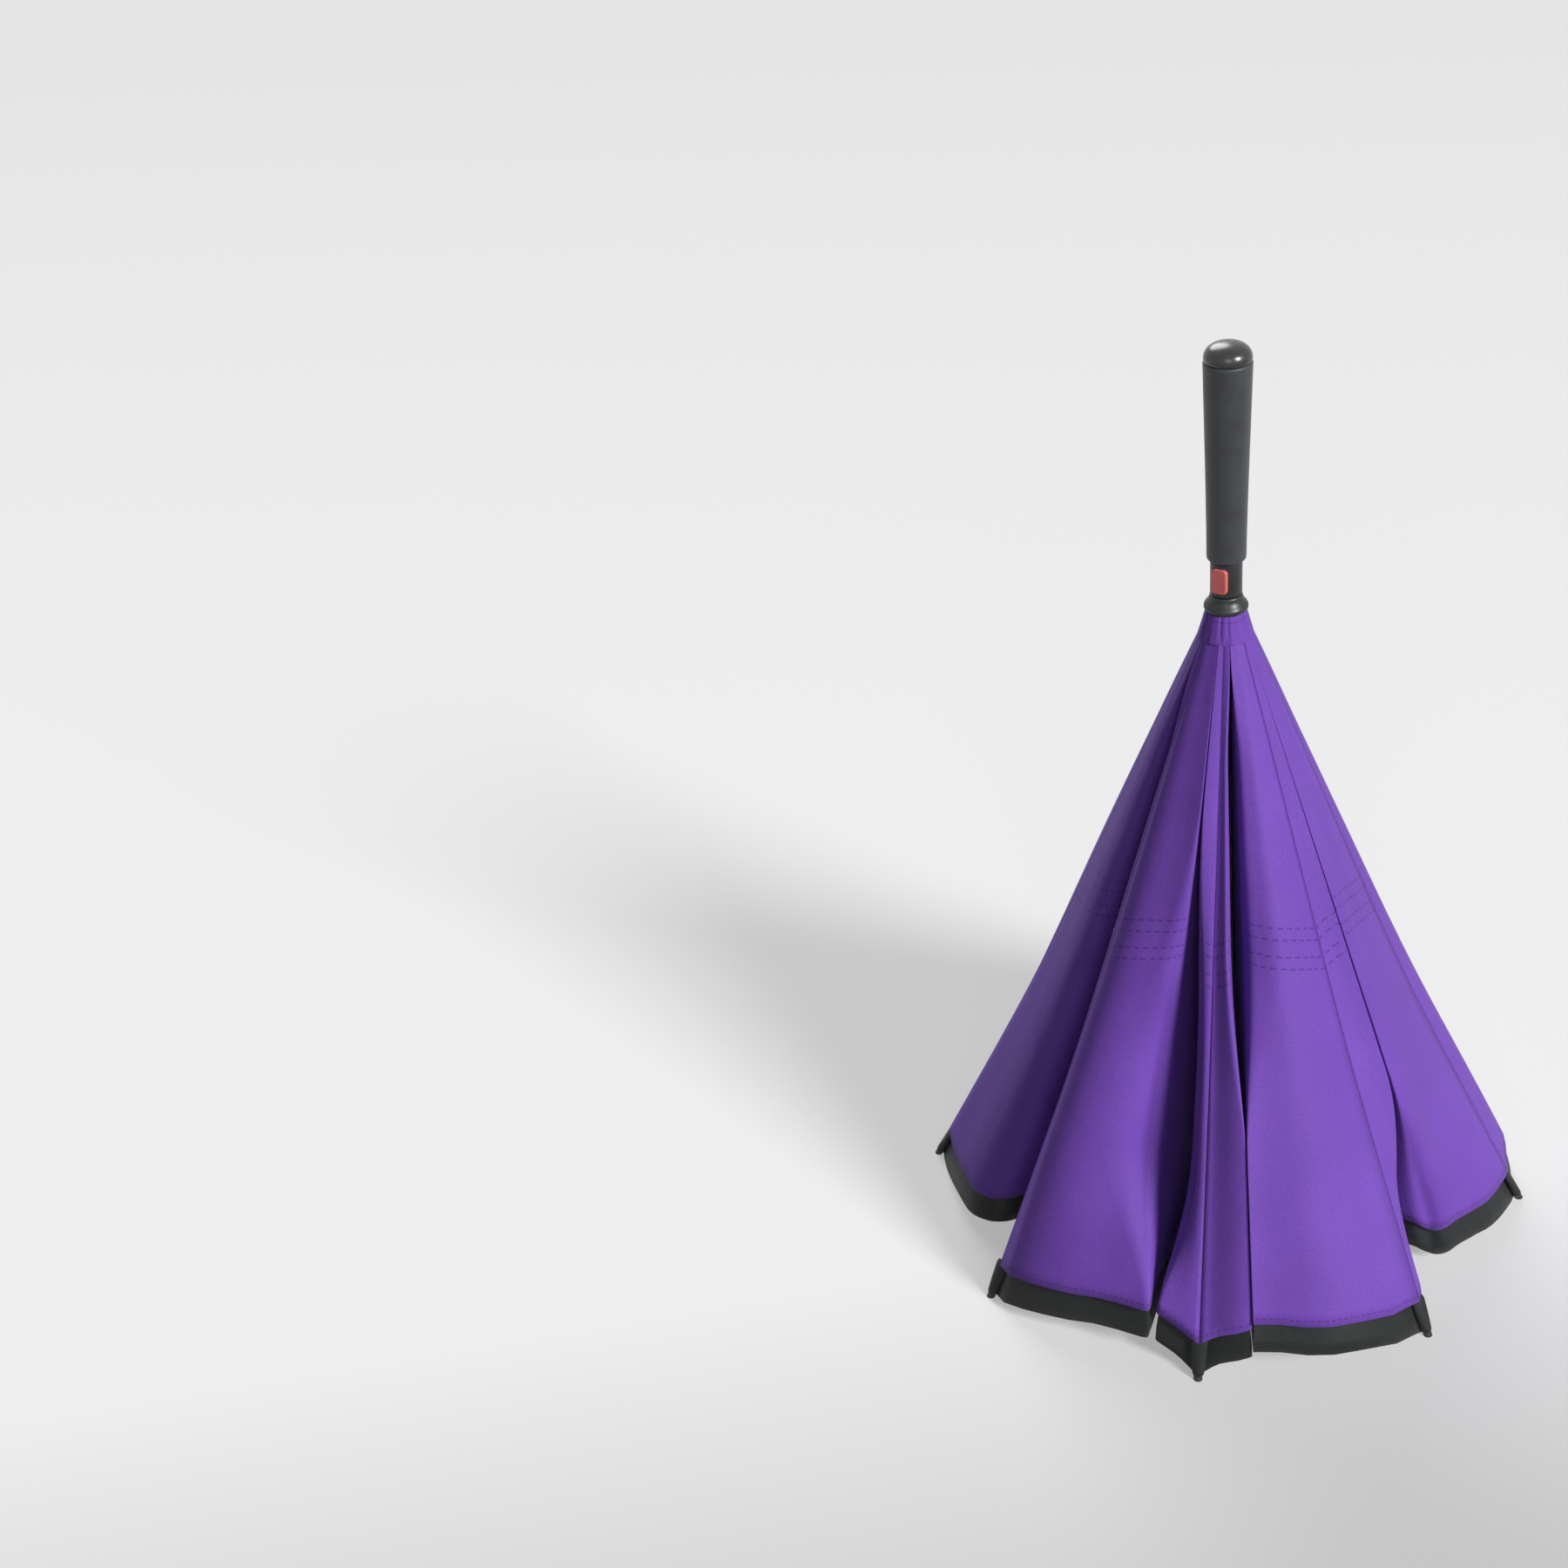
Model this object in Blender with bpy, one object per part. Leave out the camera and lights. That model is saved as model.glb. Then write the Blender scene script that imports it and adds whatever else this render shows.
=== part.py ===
"""Inverted umbrella, closed and standing on its rib tips with the handle up.

Metres, +Z up. The origin is on the floor under the shaft's axis, and -Y is the front.
"""

import math

import bmesh
import bpy
import numpy as np
from mathutils import Vector

# Umbrella
RIB_COUNT = 8
FRONT_RIB_AZIMUTH_DEG = -4.0  # from the front, towards +X
CLEARANCE = 0.0003

# Ribs
RIB_LENGTH = 0.584
RIB_RADIUS = 0.0016
RIB_REST_DEG = 21.8  # from straight down
RIB_OPEN_DEG = 95.0
RIB_BEND_DEG = 3.6
RIB_BEND_START_SHARE = 0.48
RIB_BEND_END_SHARE = 0.74
RIB_STEPS = 14
RIB_TAIL = 0.0022

# Tips, which stand on the floor
TIP_LENGTH = 0.0145
TIP_FOOT_RADIUS = 0.0036
TIP_TOP_RADIUS = 0.0026

# Stretchers
JOINT_DISTANCE = 0.262  # from the rib's pivot
OPEN_HUB_DISTANCE = 0.03344  # between the ribs' and the stretchers' pivots when open
STRETCHER_WIDTH = 0.003
STRETCHER_THICKNESS = 0.003
FORK_LENGTH = 0.056
FORK_SLOT = 0.0044
FORK_PRONG = 0.0013
FORK_SHOULDER = 0.006
STRETCHER_TAIL = 0.0022

# Shaft
SHAFT_RADIUS = 0.006
SHAFT_WALL = 0.0008
SHAFT_IN_GRIP = 0.045

# Hubs: the runner at the handle end and the crown at the far end
HUB_PIVOT_RADIUS = 0.0115
HUB_RADIUS = 0.0142
HUB_SLOT_FLOOR = 0.0087
HUB_SLOT_WIDTH = 0.0042
HUB_OPEN_SIDE = 0.006
HUB_BLIND_SIDE = 0.0032
HUB_BACK = 0.0025
CROWN_CAP_RADIUS = 0.0135
CROWN_CAP_HEIGHT = 0.014
CROWN_CAP_TOP_RADIUS = 0.0085
CROWN_SPIGOT = 0.012

# Collar under the neck
COLLAR_HEIGHT = 0.0125
COLLAR_LOWER_RADIUS = 0.0168
COLLAR_UPPER_RADIUS = 0.0124
COLLAR_LIP = 0.0035

# Neck and button
NECK_RADIUS = 0.0120
NECK_HEIGHT = 0.0285
BUTTON_AZIMUTH_DEG = -26.0
BUTTON_WIDTH = 0.0126
BUTTON_HEIGHT = 0.0205
BUTTON_FACE = 0.0133  # from the shaft's axis
BUTTON_BACK = 0.0095
BUTTON_TRAVEL = 0.0012
BUTTON_CORNER = 0.0032
BUTTON_EDGE = 0.0007

# Grip
GRIP_LENGTH = 0.158
GRIP_LOWER_RADIUS = 0.0148
GRIP_UPPER_RADIUS = 0.0180
GRIP_CHAMFER = 0.0018
END_CAP_HEIGHT = 0.0135
END_CAP_SEAM = 0.0008
GRIP_FLARE_SHARES = ((0.12, 0.06), (0.3, 0.2), (0.5, 0.42), (0.7, 0.66), (0.88, 0.88))
END_CAP_SHARES = ((1.0, 0.25), (0.965, 0.5), (0.86, 0.74), (0.66, 0.9), (0.36, 0.98))

# Canopy
CLOTH_THICKNESS = 0.0006
CLOTH_GAP = 0.0004  # from a rib or tip to the cloth's face
APEX_BEHIND_PIVOT = 0.020
CLOTH_START = 0.0245  # from the apex
CORNER_OUT_DEG = 1.3  # how far the corner lines flare past the ribs
SLIT_OPENING_DEG = 3.4
SLIT_GAP = 0.0008
FOLD_STEP_IN = 0.0009  # from a panel's edge in to its fold
HEM_SAG_SHARE = 0.066
HEM_SAG_POWER = 2.0  # the sag gathers in the middle of the gore
HEM_BORDER = 0.020
HEM_TIP_GAP = -0.003
LINING_PAST_JOINT = 0.010
LINING_GAP = 0.0020  # between the two canopies in a fold
FOLD_START = 0.050  # from the apex
FOLD_WHOLE_AT = 0.16
FOLD_LEAST_SHARE = 0.08
CLOTH_STEPS = 7
STRIP_CELLS = 3
FOLD_CELLS = 4
LINING_CELLS = 2
LINING_STEPS = 6
SLIT_SHARES = (0.80, 0.80, 0.21, 0.22, 0.50, 0.45, 0.58, 0.50)  # from a rib to the next

ROUND_SIDES = 40
SHAFT_SIDES = 24
ROD_SIDES = 8

CLOTH_OFFSET = RIB_RADIUS + CLOTH_GAP + CLOTH_THICKNESS / 2
LINING_OFFSET = TIP_TOP_RADIUS + CLOTH_GAP + CLOTH_THICKNESS / 2
LINING_START = APEX_BEHIND_PIVOT + JOINT_DISTANCE + LINING_PAST_JOINT
RIB_REST = math.radians(RIB_REST_DEG)
RIB_OPEN = math.radians(RIB_OPEN_DEG)
PITCH = 2 * math.pi / RIB_COUNT


def clear_scene():
    for old in list(bpy.data.objects):
        bpy.data.objects.remove(old, do_unlink=True)


def radial(azimuth):
    """Outward direction at an azimuth from the front, -Y, towards +X."""
    return np.array([math.sin(azimuth), -math.cos(azimuth), 0.0])


def tangent(azimuth):
    return np.array([math.cos(azimuth), math.sin(azimuth), 0.0])


UP = np.array([0.0, 0.0, 1.0])


def rib_azimuth(index):
    return math.radians(FRONT_RIB_AZIMUTH_DEG) + (index - 2) * PITCH


def unit(vector):
    return vector / np.linalg.norm(vector)


def rib_axes(index, angle):
    """Along the rib, tangential and outward directions of a rib at an angle from straight down."""
    out = radial(rib_azimuth(index))
    along = math.sin(angle) * out - math.cos(angle) * UP
    outward = math.cos(angle) * out + math.sin(angle) * UP
    return along, tangent(rib_azimuth(index)), outward


def bend_offset(distance):
    """How far a rib has bent outward at a distance from its pivot."""
    start = RIB_BEND_START_SHARE * RIB_LENGTH
    end = RIB_BEND_END_SHARE * RIB_LENGTH
    slope = math.tan(math.radians(RIB_BEND_DEG))
    if distance <= start:
        return 0.0
    if distance <= end:
        return slope * (distance - start) ** 2 / (2 * (end - start))
    return slope * (distance - (start + end) / 2)


# A stretcher is as long as it takes to reach its joint on the open rib
STRETCHER_LENGTH = math.hypot(
    JOINT_DISTANCE * math.sin(RIB_OPEN), OPEN_HUB_DISTANCE - JOINT_DISTANCE * math.cos(RIB_OPEN)
)
TIP_END = RIB_LENGTH + TIP_LENGTH
RIB_PIVOT_Z = TIP_END * math.cos(RIB_REST) - bend_offset(TIP_END) * math.sin(RIB_REST)
STRETCHER_REST = math.asin(JOINT_DISTANCE * math.sin(RIB_REST) / STRETCHER_LENGTH)
STRETCHER_OPEN = math.asin(JOINT_DISTANCE * math.sin(RIB_OPEN) / STRETCHER_LENGTH)


def hub_distance(rib_angle, stretcher_angle):
    """Height of the ribs' pivots above the stretchers' pivots."""
    return JOINT_DISTANCE * math.cos(rib_angle) + STRETCHER_LENGTH * math.cos(stretcher_angle)


CROWN_PIVOT_Z = RIB_PIVOT_Z - hub_distance(RIB_REST, STRETCHER_REST)
RUNNER_TRAVEL = RIB_PIVOT_Z - CROWN_PIVOT_Z - hub_distance(RIB_OPEN, STRETCHER_OPEN)

RUNNER_TOP_Z = RIB_PIVOT_Z + HUB_BLIND_SIDE + HUB_BACK
COLLAR_Z = RUNNER_TOP_Z + CLEARANCE
NECK_Z = COLLAR_Z + COLLAR_HEIGHT + CLEARANCE
GRIP_Z = NECK_Z + NECK_HEIGHT + CLEARANCE
END_CAP_Z = GRIP_Z + GRIP_LENGTH + CLEARANCE
BUTTON_AZIMUTH = math.radians(BUTTON_AZIMUTH_DEG)


def rib_pivot(index):
    return HUB_PIVOT_RADIUS * radial(rib_azimuth(index)) + RIB_PIVOT_Z * UP


def crown_pivot(index):
    return HUB_PIVOT_RADIUS * radial(rib_azimuth(index)) + CROWN_PIVOT_Z * UP


# Canopy lines, from the apex of each rib


def corner_shares(azimuth_gap):
    """A corner line in its rib's axes: along, away from the rib and outward."""
    steep = RIB_REST + math.radians(CORNER_OUT_DEG)
    out = math.sin(steep) * math.cos(azimuth_gap)
    along = out * math.sin(RIB_REST) + math.cos(steep) * math.cos(RIB_REST)
    outward = out * math.cos(RIB_REST) - math.cos(steep) * math.sin(RIB_REST)
    return along, math.sin(steep) * math.sin(azimuth_gap), outward


def corner_line(index, angle, shares, side):
    """Direction of a corner line on the side of a rib, +1 towards the next rib."""
    along, sideways, outward = rib_axes(index, angle)
    return shares[0] * along + side * shares[1] * sideways + shares[2] * outward


def gore_lines(index):
    """Corner lines, fold angle, and rest and open valley lines of the gore after a rib."""
    following = index + 1
    gap = SLIT_SHARES[index % len(SLIT_SHARES)] * PITCH
    half = math.radians(SLIT_OPENING_DEG) / 2
    first = corner_shares(gap - half)
    second = corner_shares(PITCH - gap - half)
    open_first = corner_line(index, RIB_OPEN, first, 1)
    open_second = corner_line(following, RIB_OPEN, second, -1)
    valley_open = unit(open_first + open_second)
    fold = math.acos(float(np.clip(valley_open @ open_first, -1, 1)))
    rest_first = corner_line(index, RIB_REST, first, 1)
    rest_second = corner_line(following, RIB_REST, second, -1)
    middle = unit(rest_first + rest_second)
    inward = unit(np.cross(middle, rest_first - rest_second))
    if inward @ radial(rib_azimuth(index) + PITCH / 2) > 0:
        inward = -inward
    share = math.cos(fold) / float(middle @ rest_first)
    valley = share * middle + math.sqrt(1 - share * share) * inward
    return {
        "first": first,
        "second": second,
        "fold": fold,
        "valley_rest": valley,
        "valley_open": valley_open,
        "corner_rest": (rest_first, rest_second),
        "corner_open": (open_first, open_second),
        "across_slit": unit(rest_first - rest_second),
        "outward": -inward,
    }


def across_angle(shares):
    """Angle from a rib to its corner line."""
    return math.acos(shares[0])


def flat_gore_angle(lines):
    return across_angle(lines["first"]) + across_angle(lines["second"]) + 2 * lines["fold"]


def hem_distance(angle, whole, border):
    """Distance from the apex to the hem, at an angle across the flat gore."""
    middle = (1 - (2 * angle / whole - 1) ** 2) ** HEM_SAG_POWER
    reach = RIB_LENGTH + APEX_BEHIND_PIVOT - HEM_TIP_GAP
    return reach * (1 - HEM_SAG_SHARE * middle) - border


def apex(index, angle=RIB_REST):
    return rib_pivot(index) - APEX_BEHIND_PIVOT * rib_axes(index, angle)[0]


def fold_growth(distance):
    """How much of its fold the cloth has at a distance from the apex: little by the hub."""
    grown = (distance - FOLD_START) / (FOLD_WHOLE_AT - FOLD_START)
    return min(1.0, max(FOLD_LEAST_SHARE, grown))


def half_gore(index, side):
    """Directions and angles of the half gore on one side of a rib, +1 towards the next rib."""
    gore = index if side > 0 else index - 1
    lines = gore_lines(gore % RIB_COUNT)
    turn = (gore - gore % RIB_COUNT) * PITCH
    shares = lines["first"] if side > 0 else lines["second"]
    open_lines = lines["corner_open"][0 if side > 0 else 1]
    return {
        "corner": corner_line(index, RIB_REST, shares, side),
        "corner_open": spin(open_lines, turn),
        "valley": spin(lines["valley_rest"], turn),
        "valley_open": spin(lines["valley_open"], turn),
        "to_rib": spin(lines["across_slit"], turn) * side,
        "outward": spin(lines["outward"], turn),
        "across": across_angle(shares),
        "fold": lines["fold"],
        "whole": flat_gore_angle(lines),
    }


def reach_at(half, angle, start, border, step, steps):
    """Distance from the apex of a row, at an angle across the flat gore."""
    end = hem_distance(angle, half["whole"], border)
    return start + (end - start) * step / steps


def strip_point(index, half, side, share, distance, out):
    """A point between a rib, share 0, and its corner line, share 1."""
    along, sideways, outward = rib_axes(index, RIB_REST)
    ray = slerp(along, half["corner"], share)
    bent = bend_offset(distance - APEX_BEHIND_PIVOT) * (1 - share)
    shift = (bent + out * (1 - share)) * outward + out * share * half["outward"]
    return apex(index) + distance * ray + shift + SLIT_GAP * share * half["to_rib"]


def fold_point(index, half, share, distance, out):
    """A point between a corner line, share 0, and the valley, share 1."""
    ray = slerp(half["corner"], half["valley"], share * fold_growth(distance))
    shift = out * half["outward"] + SLIT_GAP * half["to_rib"]
    return apex(index) + distance * ray + shift


def panel_rows(index):
    """Points of the inner canopy's panel that a rib carries, from corner line to corner line."""
    rows = []
    for step in range(CLOTH_STEPS + 1):
        row = []
        for cell in range(-STRIP_CELLS, STRIP_CELLS + 1):
            side = 1 if cell > 0 else -1
            half = half_gore(index, side)
            share = abs(cell) / STRIP_CELLS
            angle = half["across"] * share
            distance = reach_at(half, angle, CLOTH_START, HEM_BORDER, step, CLOTH_STEPS)
            row.append(strip_point(index, half, side, share, distance, CLOTH_OFFSET))
        rows.append(row)
    return rows


def fold_rows(index, side):
    """Points of the inner canopy's fold beside a slit, from the corner line in to the valley."""
    half = half_gore(index, side)
    rows = []
    for step in range(CLOTH_STEPS + 1):
        row = []
        for cell in range(FOLD_CELLS + 1):
            share = cell / FOLD_CELLS
            angle = half["across"] + half["fold"] * share
            distance = reach_at(half, angle, FOLD_START, HEM_BORDER, step, CLOTH_STEPS)
            point = fold_point(index, half, share, distance, CLOTH_OFFSET)
            row.append(point - FOLD_STEP_IN * half["outward"])
        rows.append(row)
    return rows


def lining_row(step):
    """One row of the outer canopy's points, all the way round."""
    row = []
    for index in range(RIB_COUNT):
        for side in (-1, 1):
            half = half_gore(index, side)
            points = []
            for cell in range(LINING_CELLS * 2 + 1):
                strip = min(1.0, cell / LINING_CELLS)
                folded = max(0, cell - LINING_CELLS) / LINING_CELLS
                angle = half["across"] * strip + half["fold"] * folded
                distance = reach_at(half, angle, LINING_START, 0.0, step, LINING_STEPS)
                if folded > 0:
                    point = fold_point(index, half, folded, distance, -LINING_OFFSET)
                else:
                    point = strip_point(index, half, side, strip, distance, -LINING_OFFSET)
                points.append(point + LINING_GAP * strip * half["to_rib"])
            row += points[:0:-1] if side < 0 else points
    return row


def spin(vector, angle):
    """A vector turned about +Z, the way azimuths run."""
    c, s = math.cos(angle), math.sin(angle)
    x, y, z = vector
    return np.array([c * x - s * y, s * x + c * y, z])


def slerp(a, b, share):
    whole = math.acos(float(np.clip(a @ b, -1, 1)))
    return (math.sin((1 - share) * whole) * a + math.sin(share * whole) * b) / math.sin(whole)


# Meshes


def material(name, colour, roughness, metallic=0.0):
    made = bpy.data.materials.new(name)
    made.use_nodes = True
    shader = made.node_tree.nodes["Principled BSDF"]
    shader.inputs["Base Color"].default_value = (*colour, 1.0)
    shader.inputs["Roughness"].default_value = roughness
    shader.inputs["Metallic"].default_value = metallic
    return made


def finish_mesh(name, bm, origin, look, parent=None, sharp=40.0):
    """Close up a mesh given in world places and hang it at its origin."""
    bmesh.ops.remove_doubles(bm, verts=bm.verts, dist=1e-7)
    bmesh.ops.dissolve_degenerate(bm, edges=bm.edges, dist=1e-7)
    bmesh.ops.recalc_face_normals(bm, faces=bm.faces)
    bmesh.ops.translate(bm, verts=bm.verts, vec=-Vector(origin))
    mesh = bpy.data.meshes.new(name)
    bm.to_mesh(mesh)
    bm.free()
    mesh.shade_smooth()
    mesh.set_sharp_from_angle(angle=math.radians(sharp))
    made = bpy.data.objects.new(name, mesh)
    bpy.context.collection.objects.link(made)
    made.location = Vector(origin)
    mesh.materials.append(look)
    if parent is not None:
        made.parent = parent
        made.matrix_parent_inverse = parent.matrix_world.inverted()
    return made


def loft(loops, closed_ends=True):
    """A skin through loops of as many points each, which may be closed at its ends."""
    bm = bmesh.new()
    rings = [[bm.verts.new(point) for point in loop] for loop in loops]
    for lower, upper in zip(rings, rings[1:]):
        for k in range(len(lower)):
            after = (k + 1) % len(lower)
            bm.faces.new((lower[k], lower[after], upper[after], upper[k]))
    if closed_ends:
        bm.faces.new(rings[0])
        bm.faces.new(rings[-1])
    else:
        for k in range(len(rings[0])):
            after = (k + 1) % len(rings[0])
            bm.faces.new((rings[-1][k], rings[-1][after], rings[0][after], rings[0][k]))
    return bm


def circle(radius, z, sides):
    return [
        (radius * math.cos(2 * math.pi * k / sides), radius * math.sin(2 * math.pi * k / sides), z)
        for k in range(sides)
    ]


def turned(name, profile, look, sides=ROUND_SIDES, bored=False):
    """A turned piece from (radius, z) points, which run round the section if it is bored."""
    loops = [circle(radius, z, sides) for radius, z in profile]
    return finish_mesh(name, loft(loops, not bored), (0, 0, 0), look)


def hub(name, pivot_z, facing, look):
    """A hub round the shaft with a slot for each rib, open to its facing side, +1 up."""
    loop_slotted = []
    loop_round = []
    bore = []
    sides_between = ROUND_SIDES // RIB_COUNT
    half = math.asin(HUB_SLOT_WIDTH / 2 / HUB_SLOT_FLOOR)
    for index in range(RIB_COUNT):
        middle = rib_azimuth(index)
        turns = [(middle - half, HUB_RADIUS), (middle - half, HUB_SLOT_FLOOR)]
        turns += [(middle + half, HUB_SLOT_FLOOR), (middle + half, HUB_RADIUS)]
        step = (PITCH - 2 * half) / sides_between
        turns += [(middle + half + step * k, HUB_RADIUS) for k in range(1, sides_between)]
        for azimuth, radius in turns:
            loop_slotted.append(radius * radial(azimuth))
            loop_round.append(HUB_RADIUS * radial(azimuth))
            bore.append((SHAFT_RADIUS + CLEARANCE) * radial(azimuth))
    near = pivot_z + facing * HUB_OPEN_SIDE
    floor = pivot_z - facing * HUB_BLIND_SIDE
    far = floor - facing * HUB_BACK
    levels = [(loop_slotted, near), (loop_slotted, floor), (loop_round, floor), (loop_round, far)]
    loops = [[tuple(point + z * UP) for point in loop] for loop, z in levels]
    loops += [[tuple(point + z * UP) for point in bore] for z in (far, near)]
    return finish_mesh(name, loft(loops, False), (0, 0, pivot_z), look)


def rib_point(index, distance):
    along, _, outward = rib_axes(index, RIB_REST)
    return rib_pivot(index) + distance * along + bend_offset(distance) * outward


def rib_direction(index, distance):
    span = RIB_RADIUS
    return unit(rib_point(index, distance + span) - rib_point(index, distance - span))


def rod_loop(centre, direction, sideways, radius, sides=ROD_SIDES):
    normal = unit(np.cross(direction, sideways))
    loop = []
    for k in range(sides):
        turn = 2 * math.pi * (k + 0.5) / sides
        offset = radius * (math.cos(turn) * sideways + math.sin(turn) * normal)
        loop.append(tuple(centre + offset))
    return loop


def rib(index, look, parent):
    sideways = tangent(rib_azimuth(index))
    loops = []
    for step in range(RIB_STEPS + 1):
        distance = -RIB_TAIL + (RIB_LENGTH + RIB_TAIL) * step / RIB_STEPS
        direction = rib_direction(index, distance)
        loops.append(rod_loop(rib_point(index, distance), direction, sideways, RIB_RADIUS))
    return finish_mesh(f"rib_{index + 1}", loft(loops), rib_pivot(index), look, parent)


def tip(index, look, parent):
    """A tip pushed on the end of a rib, with a flat foot on the floor."""
    sideways = tangent(rib_azimuth(index))
    out = radial(rib_azimuth(index))
    start = RIB_LENGTH + CLEARANCE
    direction = rib_direction(index, start)
    foot = rib_point(index, TIP_END)
    upper = rod_loop(rib_point(index, start), direction, sideways, TIP_TOP_RADIUS, ROD_SIDES * 2)
    lower = []
    for k in range(ROD_SIDES * 2):
        turn = 2 * math.pi * (k + 0.5) / (ROD_SIDES * 2)
        point = foot + TIP_FOOT_RADIUS * (math.cos(turn) * sideways + math.sin(turn) * out)
        lower.append((point[0], point[1], 0.0))
    return finish_mesh(f"rib_tip_{index + 1}", loft([upper, lower]), rib_pivot(index), look, parent)


def stretcher(index, look, parent):
    """A rod from the crown with a fork that straddles its rib."""
    out = radial(rib_azimuth(index))
    sideways = tangent(rib_azimuth(index))
    along = math.sin(STRETCHER_REST) * out + math.cos(STRETCHER_REST) * UP
    normal = math.cos(STRETCHER_REST) * out - math.sin(STRETCHER_REST) * UP
    slot = FORK_SLOT / 2
    outer = slot + FORK_PRONG
    neck = STRETCHER_LENGTH - FORK_LENGTH
    throat = neck + FORK_SHOULDER
    half = STRETCHER_WIDTH / 2
    side = [(-STRETCHER_TAIL, half), (neck, half), (throat, outer), (STRETCHER_LENGTH, outer)]
    side += [(STRETCHER_LENGTH, slot), (throat, slot)]
    outline = side + [(x, -y) for x, y in reversed(side)]
    loops = []
    for shift in (-STRETCHER_THICKNESS / 2, STRETCHER_THICKNESS / 2):
        base = crown_pivot(index) + shift * normal
        loops.append([tuple(base + x * along + y * sideways) for x, y in outline])
    return finish_mesh(
        f"stretcher_{index + 1}", loft(loops), crown_pivot(index), look, parent, sharp=20.0
    )


def sheet_normals(grid, ring):
    if ring:
        across = np.roll(grid, -1, axis=1) - np.roll(grid, 1, axis=1)
    else:
        across = np.gradient(grid, axis=1)
    normal = np.cross(np.gradient(grid, axis=0), across)
    return normal / np.linalg.norm(normal, axis=2, keepdims=True)


def cloth_sheet(name, rows, origin, look, parent=None, ring=False):
    """A closed thin sheet round a grid of points, whose rows may be rings."""
    grid = np.array(rows)
    half = sheet_normals(grid, ring) * CLOTH_THICKNESS / 2
    bm = bmesh.new()
    count, width = grid.shape[:2]
    layers = [[[bm.verts.new(p) for p in row] for row in layer] for layer in (grid + half, grid - half)]
    spans = width if ring else width - 1
    for layer in layers:
        for i in range(count - 1):
            for j in range(spans):
                k = (j + 1) % width
                bm.faces.new((layer[i][j], layer[i][k], layer[i + 1][k], layer[i + 1][j]))
    for i in (0, count - 1):
        for j in range(spans):
            k = (j + 1) % width
            bm.faces.new((layers[0][i][j], layers[0][i][k], layers[1][i][k], layers[1][i][j]))
    for j in (() if ring else (0, width - 1)):
        for i in range(count - 1):
            a, b = layers[0][i][j], layers[0][i + 1][j]
            bm.faces.new((a, b, layers[1][i + 1][j], layers[1][i][j]))
    return finish_mesh(name, bm, origin, look, parent, sharp=50.0)


def outline_corners(width, height, corner, steps=4):
    """A rounded rectangle's outline as (across, up) points."""
    points = []
    for x, y, start in ((1, 1, 0), (-1, 1, 1), (-1, -1, 2), (1, -1, 3)):
        centre = (x * (width / 2 - corner), y * (height / 2 - corner))
        for k in range(steps + 1):
            turn = (start + k / steps) * math.pi / 2
            points.append(
                (centre[0] + corner * math.cos(turn), centre[1] + corner * math.sin(turn))
            )
    return points


def button_loops(levels, centre_z):
    """Rounded rectangles across the button's direction, at (depth, shrink) levels."""
    out = radial(BUTTON_AZIMUTH)
    sideways = tangent(BUTTON_AZIMUTH)
    loops = []
    for depth, grow in levels:
        outline = outline_corners(
            BUTTON_WIDTH + 2 * grow, BUTTON_HEIGHT + 2 * grow, BUTTON_CORNER + grow
        )
        loops.append([tuple(depth * out + x * sideways + (centre_z + y) * UP) for x, y in outline])
    return loops


def make_neck(look, button_look):
    middle = NECK_Z + NECK_HEIGHT / 2
    bore = SHAFT_RADIUS + CLEARANCE
    edge = GRIP_CHAMFER / 2
    top = NECK_Z + NECK_HEIGHT
    profile = [(bore, NECK_Z), (NECK_RADIUS - edge, NECK_Z), (NECK_RADIUS, NECK_Z + edge)]
    profile += [(NECK_RADIUS, top - edge), (NECK_RADIUS - edge, top), (bore, top)]
    neck = turned("neck_housing", profile, look, bored=True)
    floor = BUTTON_BACK - BUTTON_TRAVEL - CLEARANCE
    over = NECK_RADIUS + BUTTON_FACE
    loops = button_loops([(floor, CLEARANCE), (over, CLEARANCE)], middle)
    cutter = finish_mesh("neck_pocket_cutter", loft(loops), (0, 0, 0), look)
    cutter.hide_render = True
    cutter.display_type = "WIRE"
    cut = neck.modifiers.new("pocket", "BOOLEAN")
    cut.operation = "DIFFERENCE"
    cut.solver = "EXACT"
    cut.object = cutter
    levels = [(BUTTON_BACK, 0.0), (BUTTON_FACE - BUTTON_EDGE, 0.0), (BUTTON_FACE, -BUTTON_EDGE)]
    origin = BUTTON_BACK * radial(BUTTON_AZIMUTH) + middle * UP
    finish_mesh("release_button", loft(button_loops(levels, middle)), origin, button_look)


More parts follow.
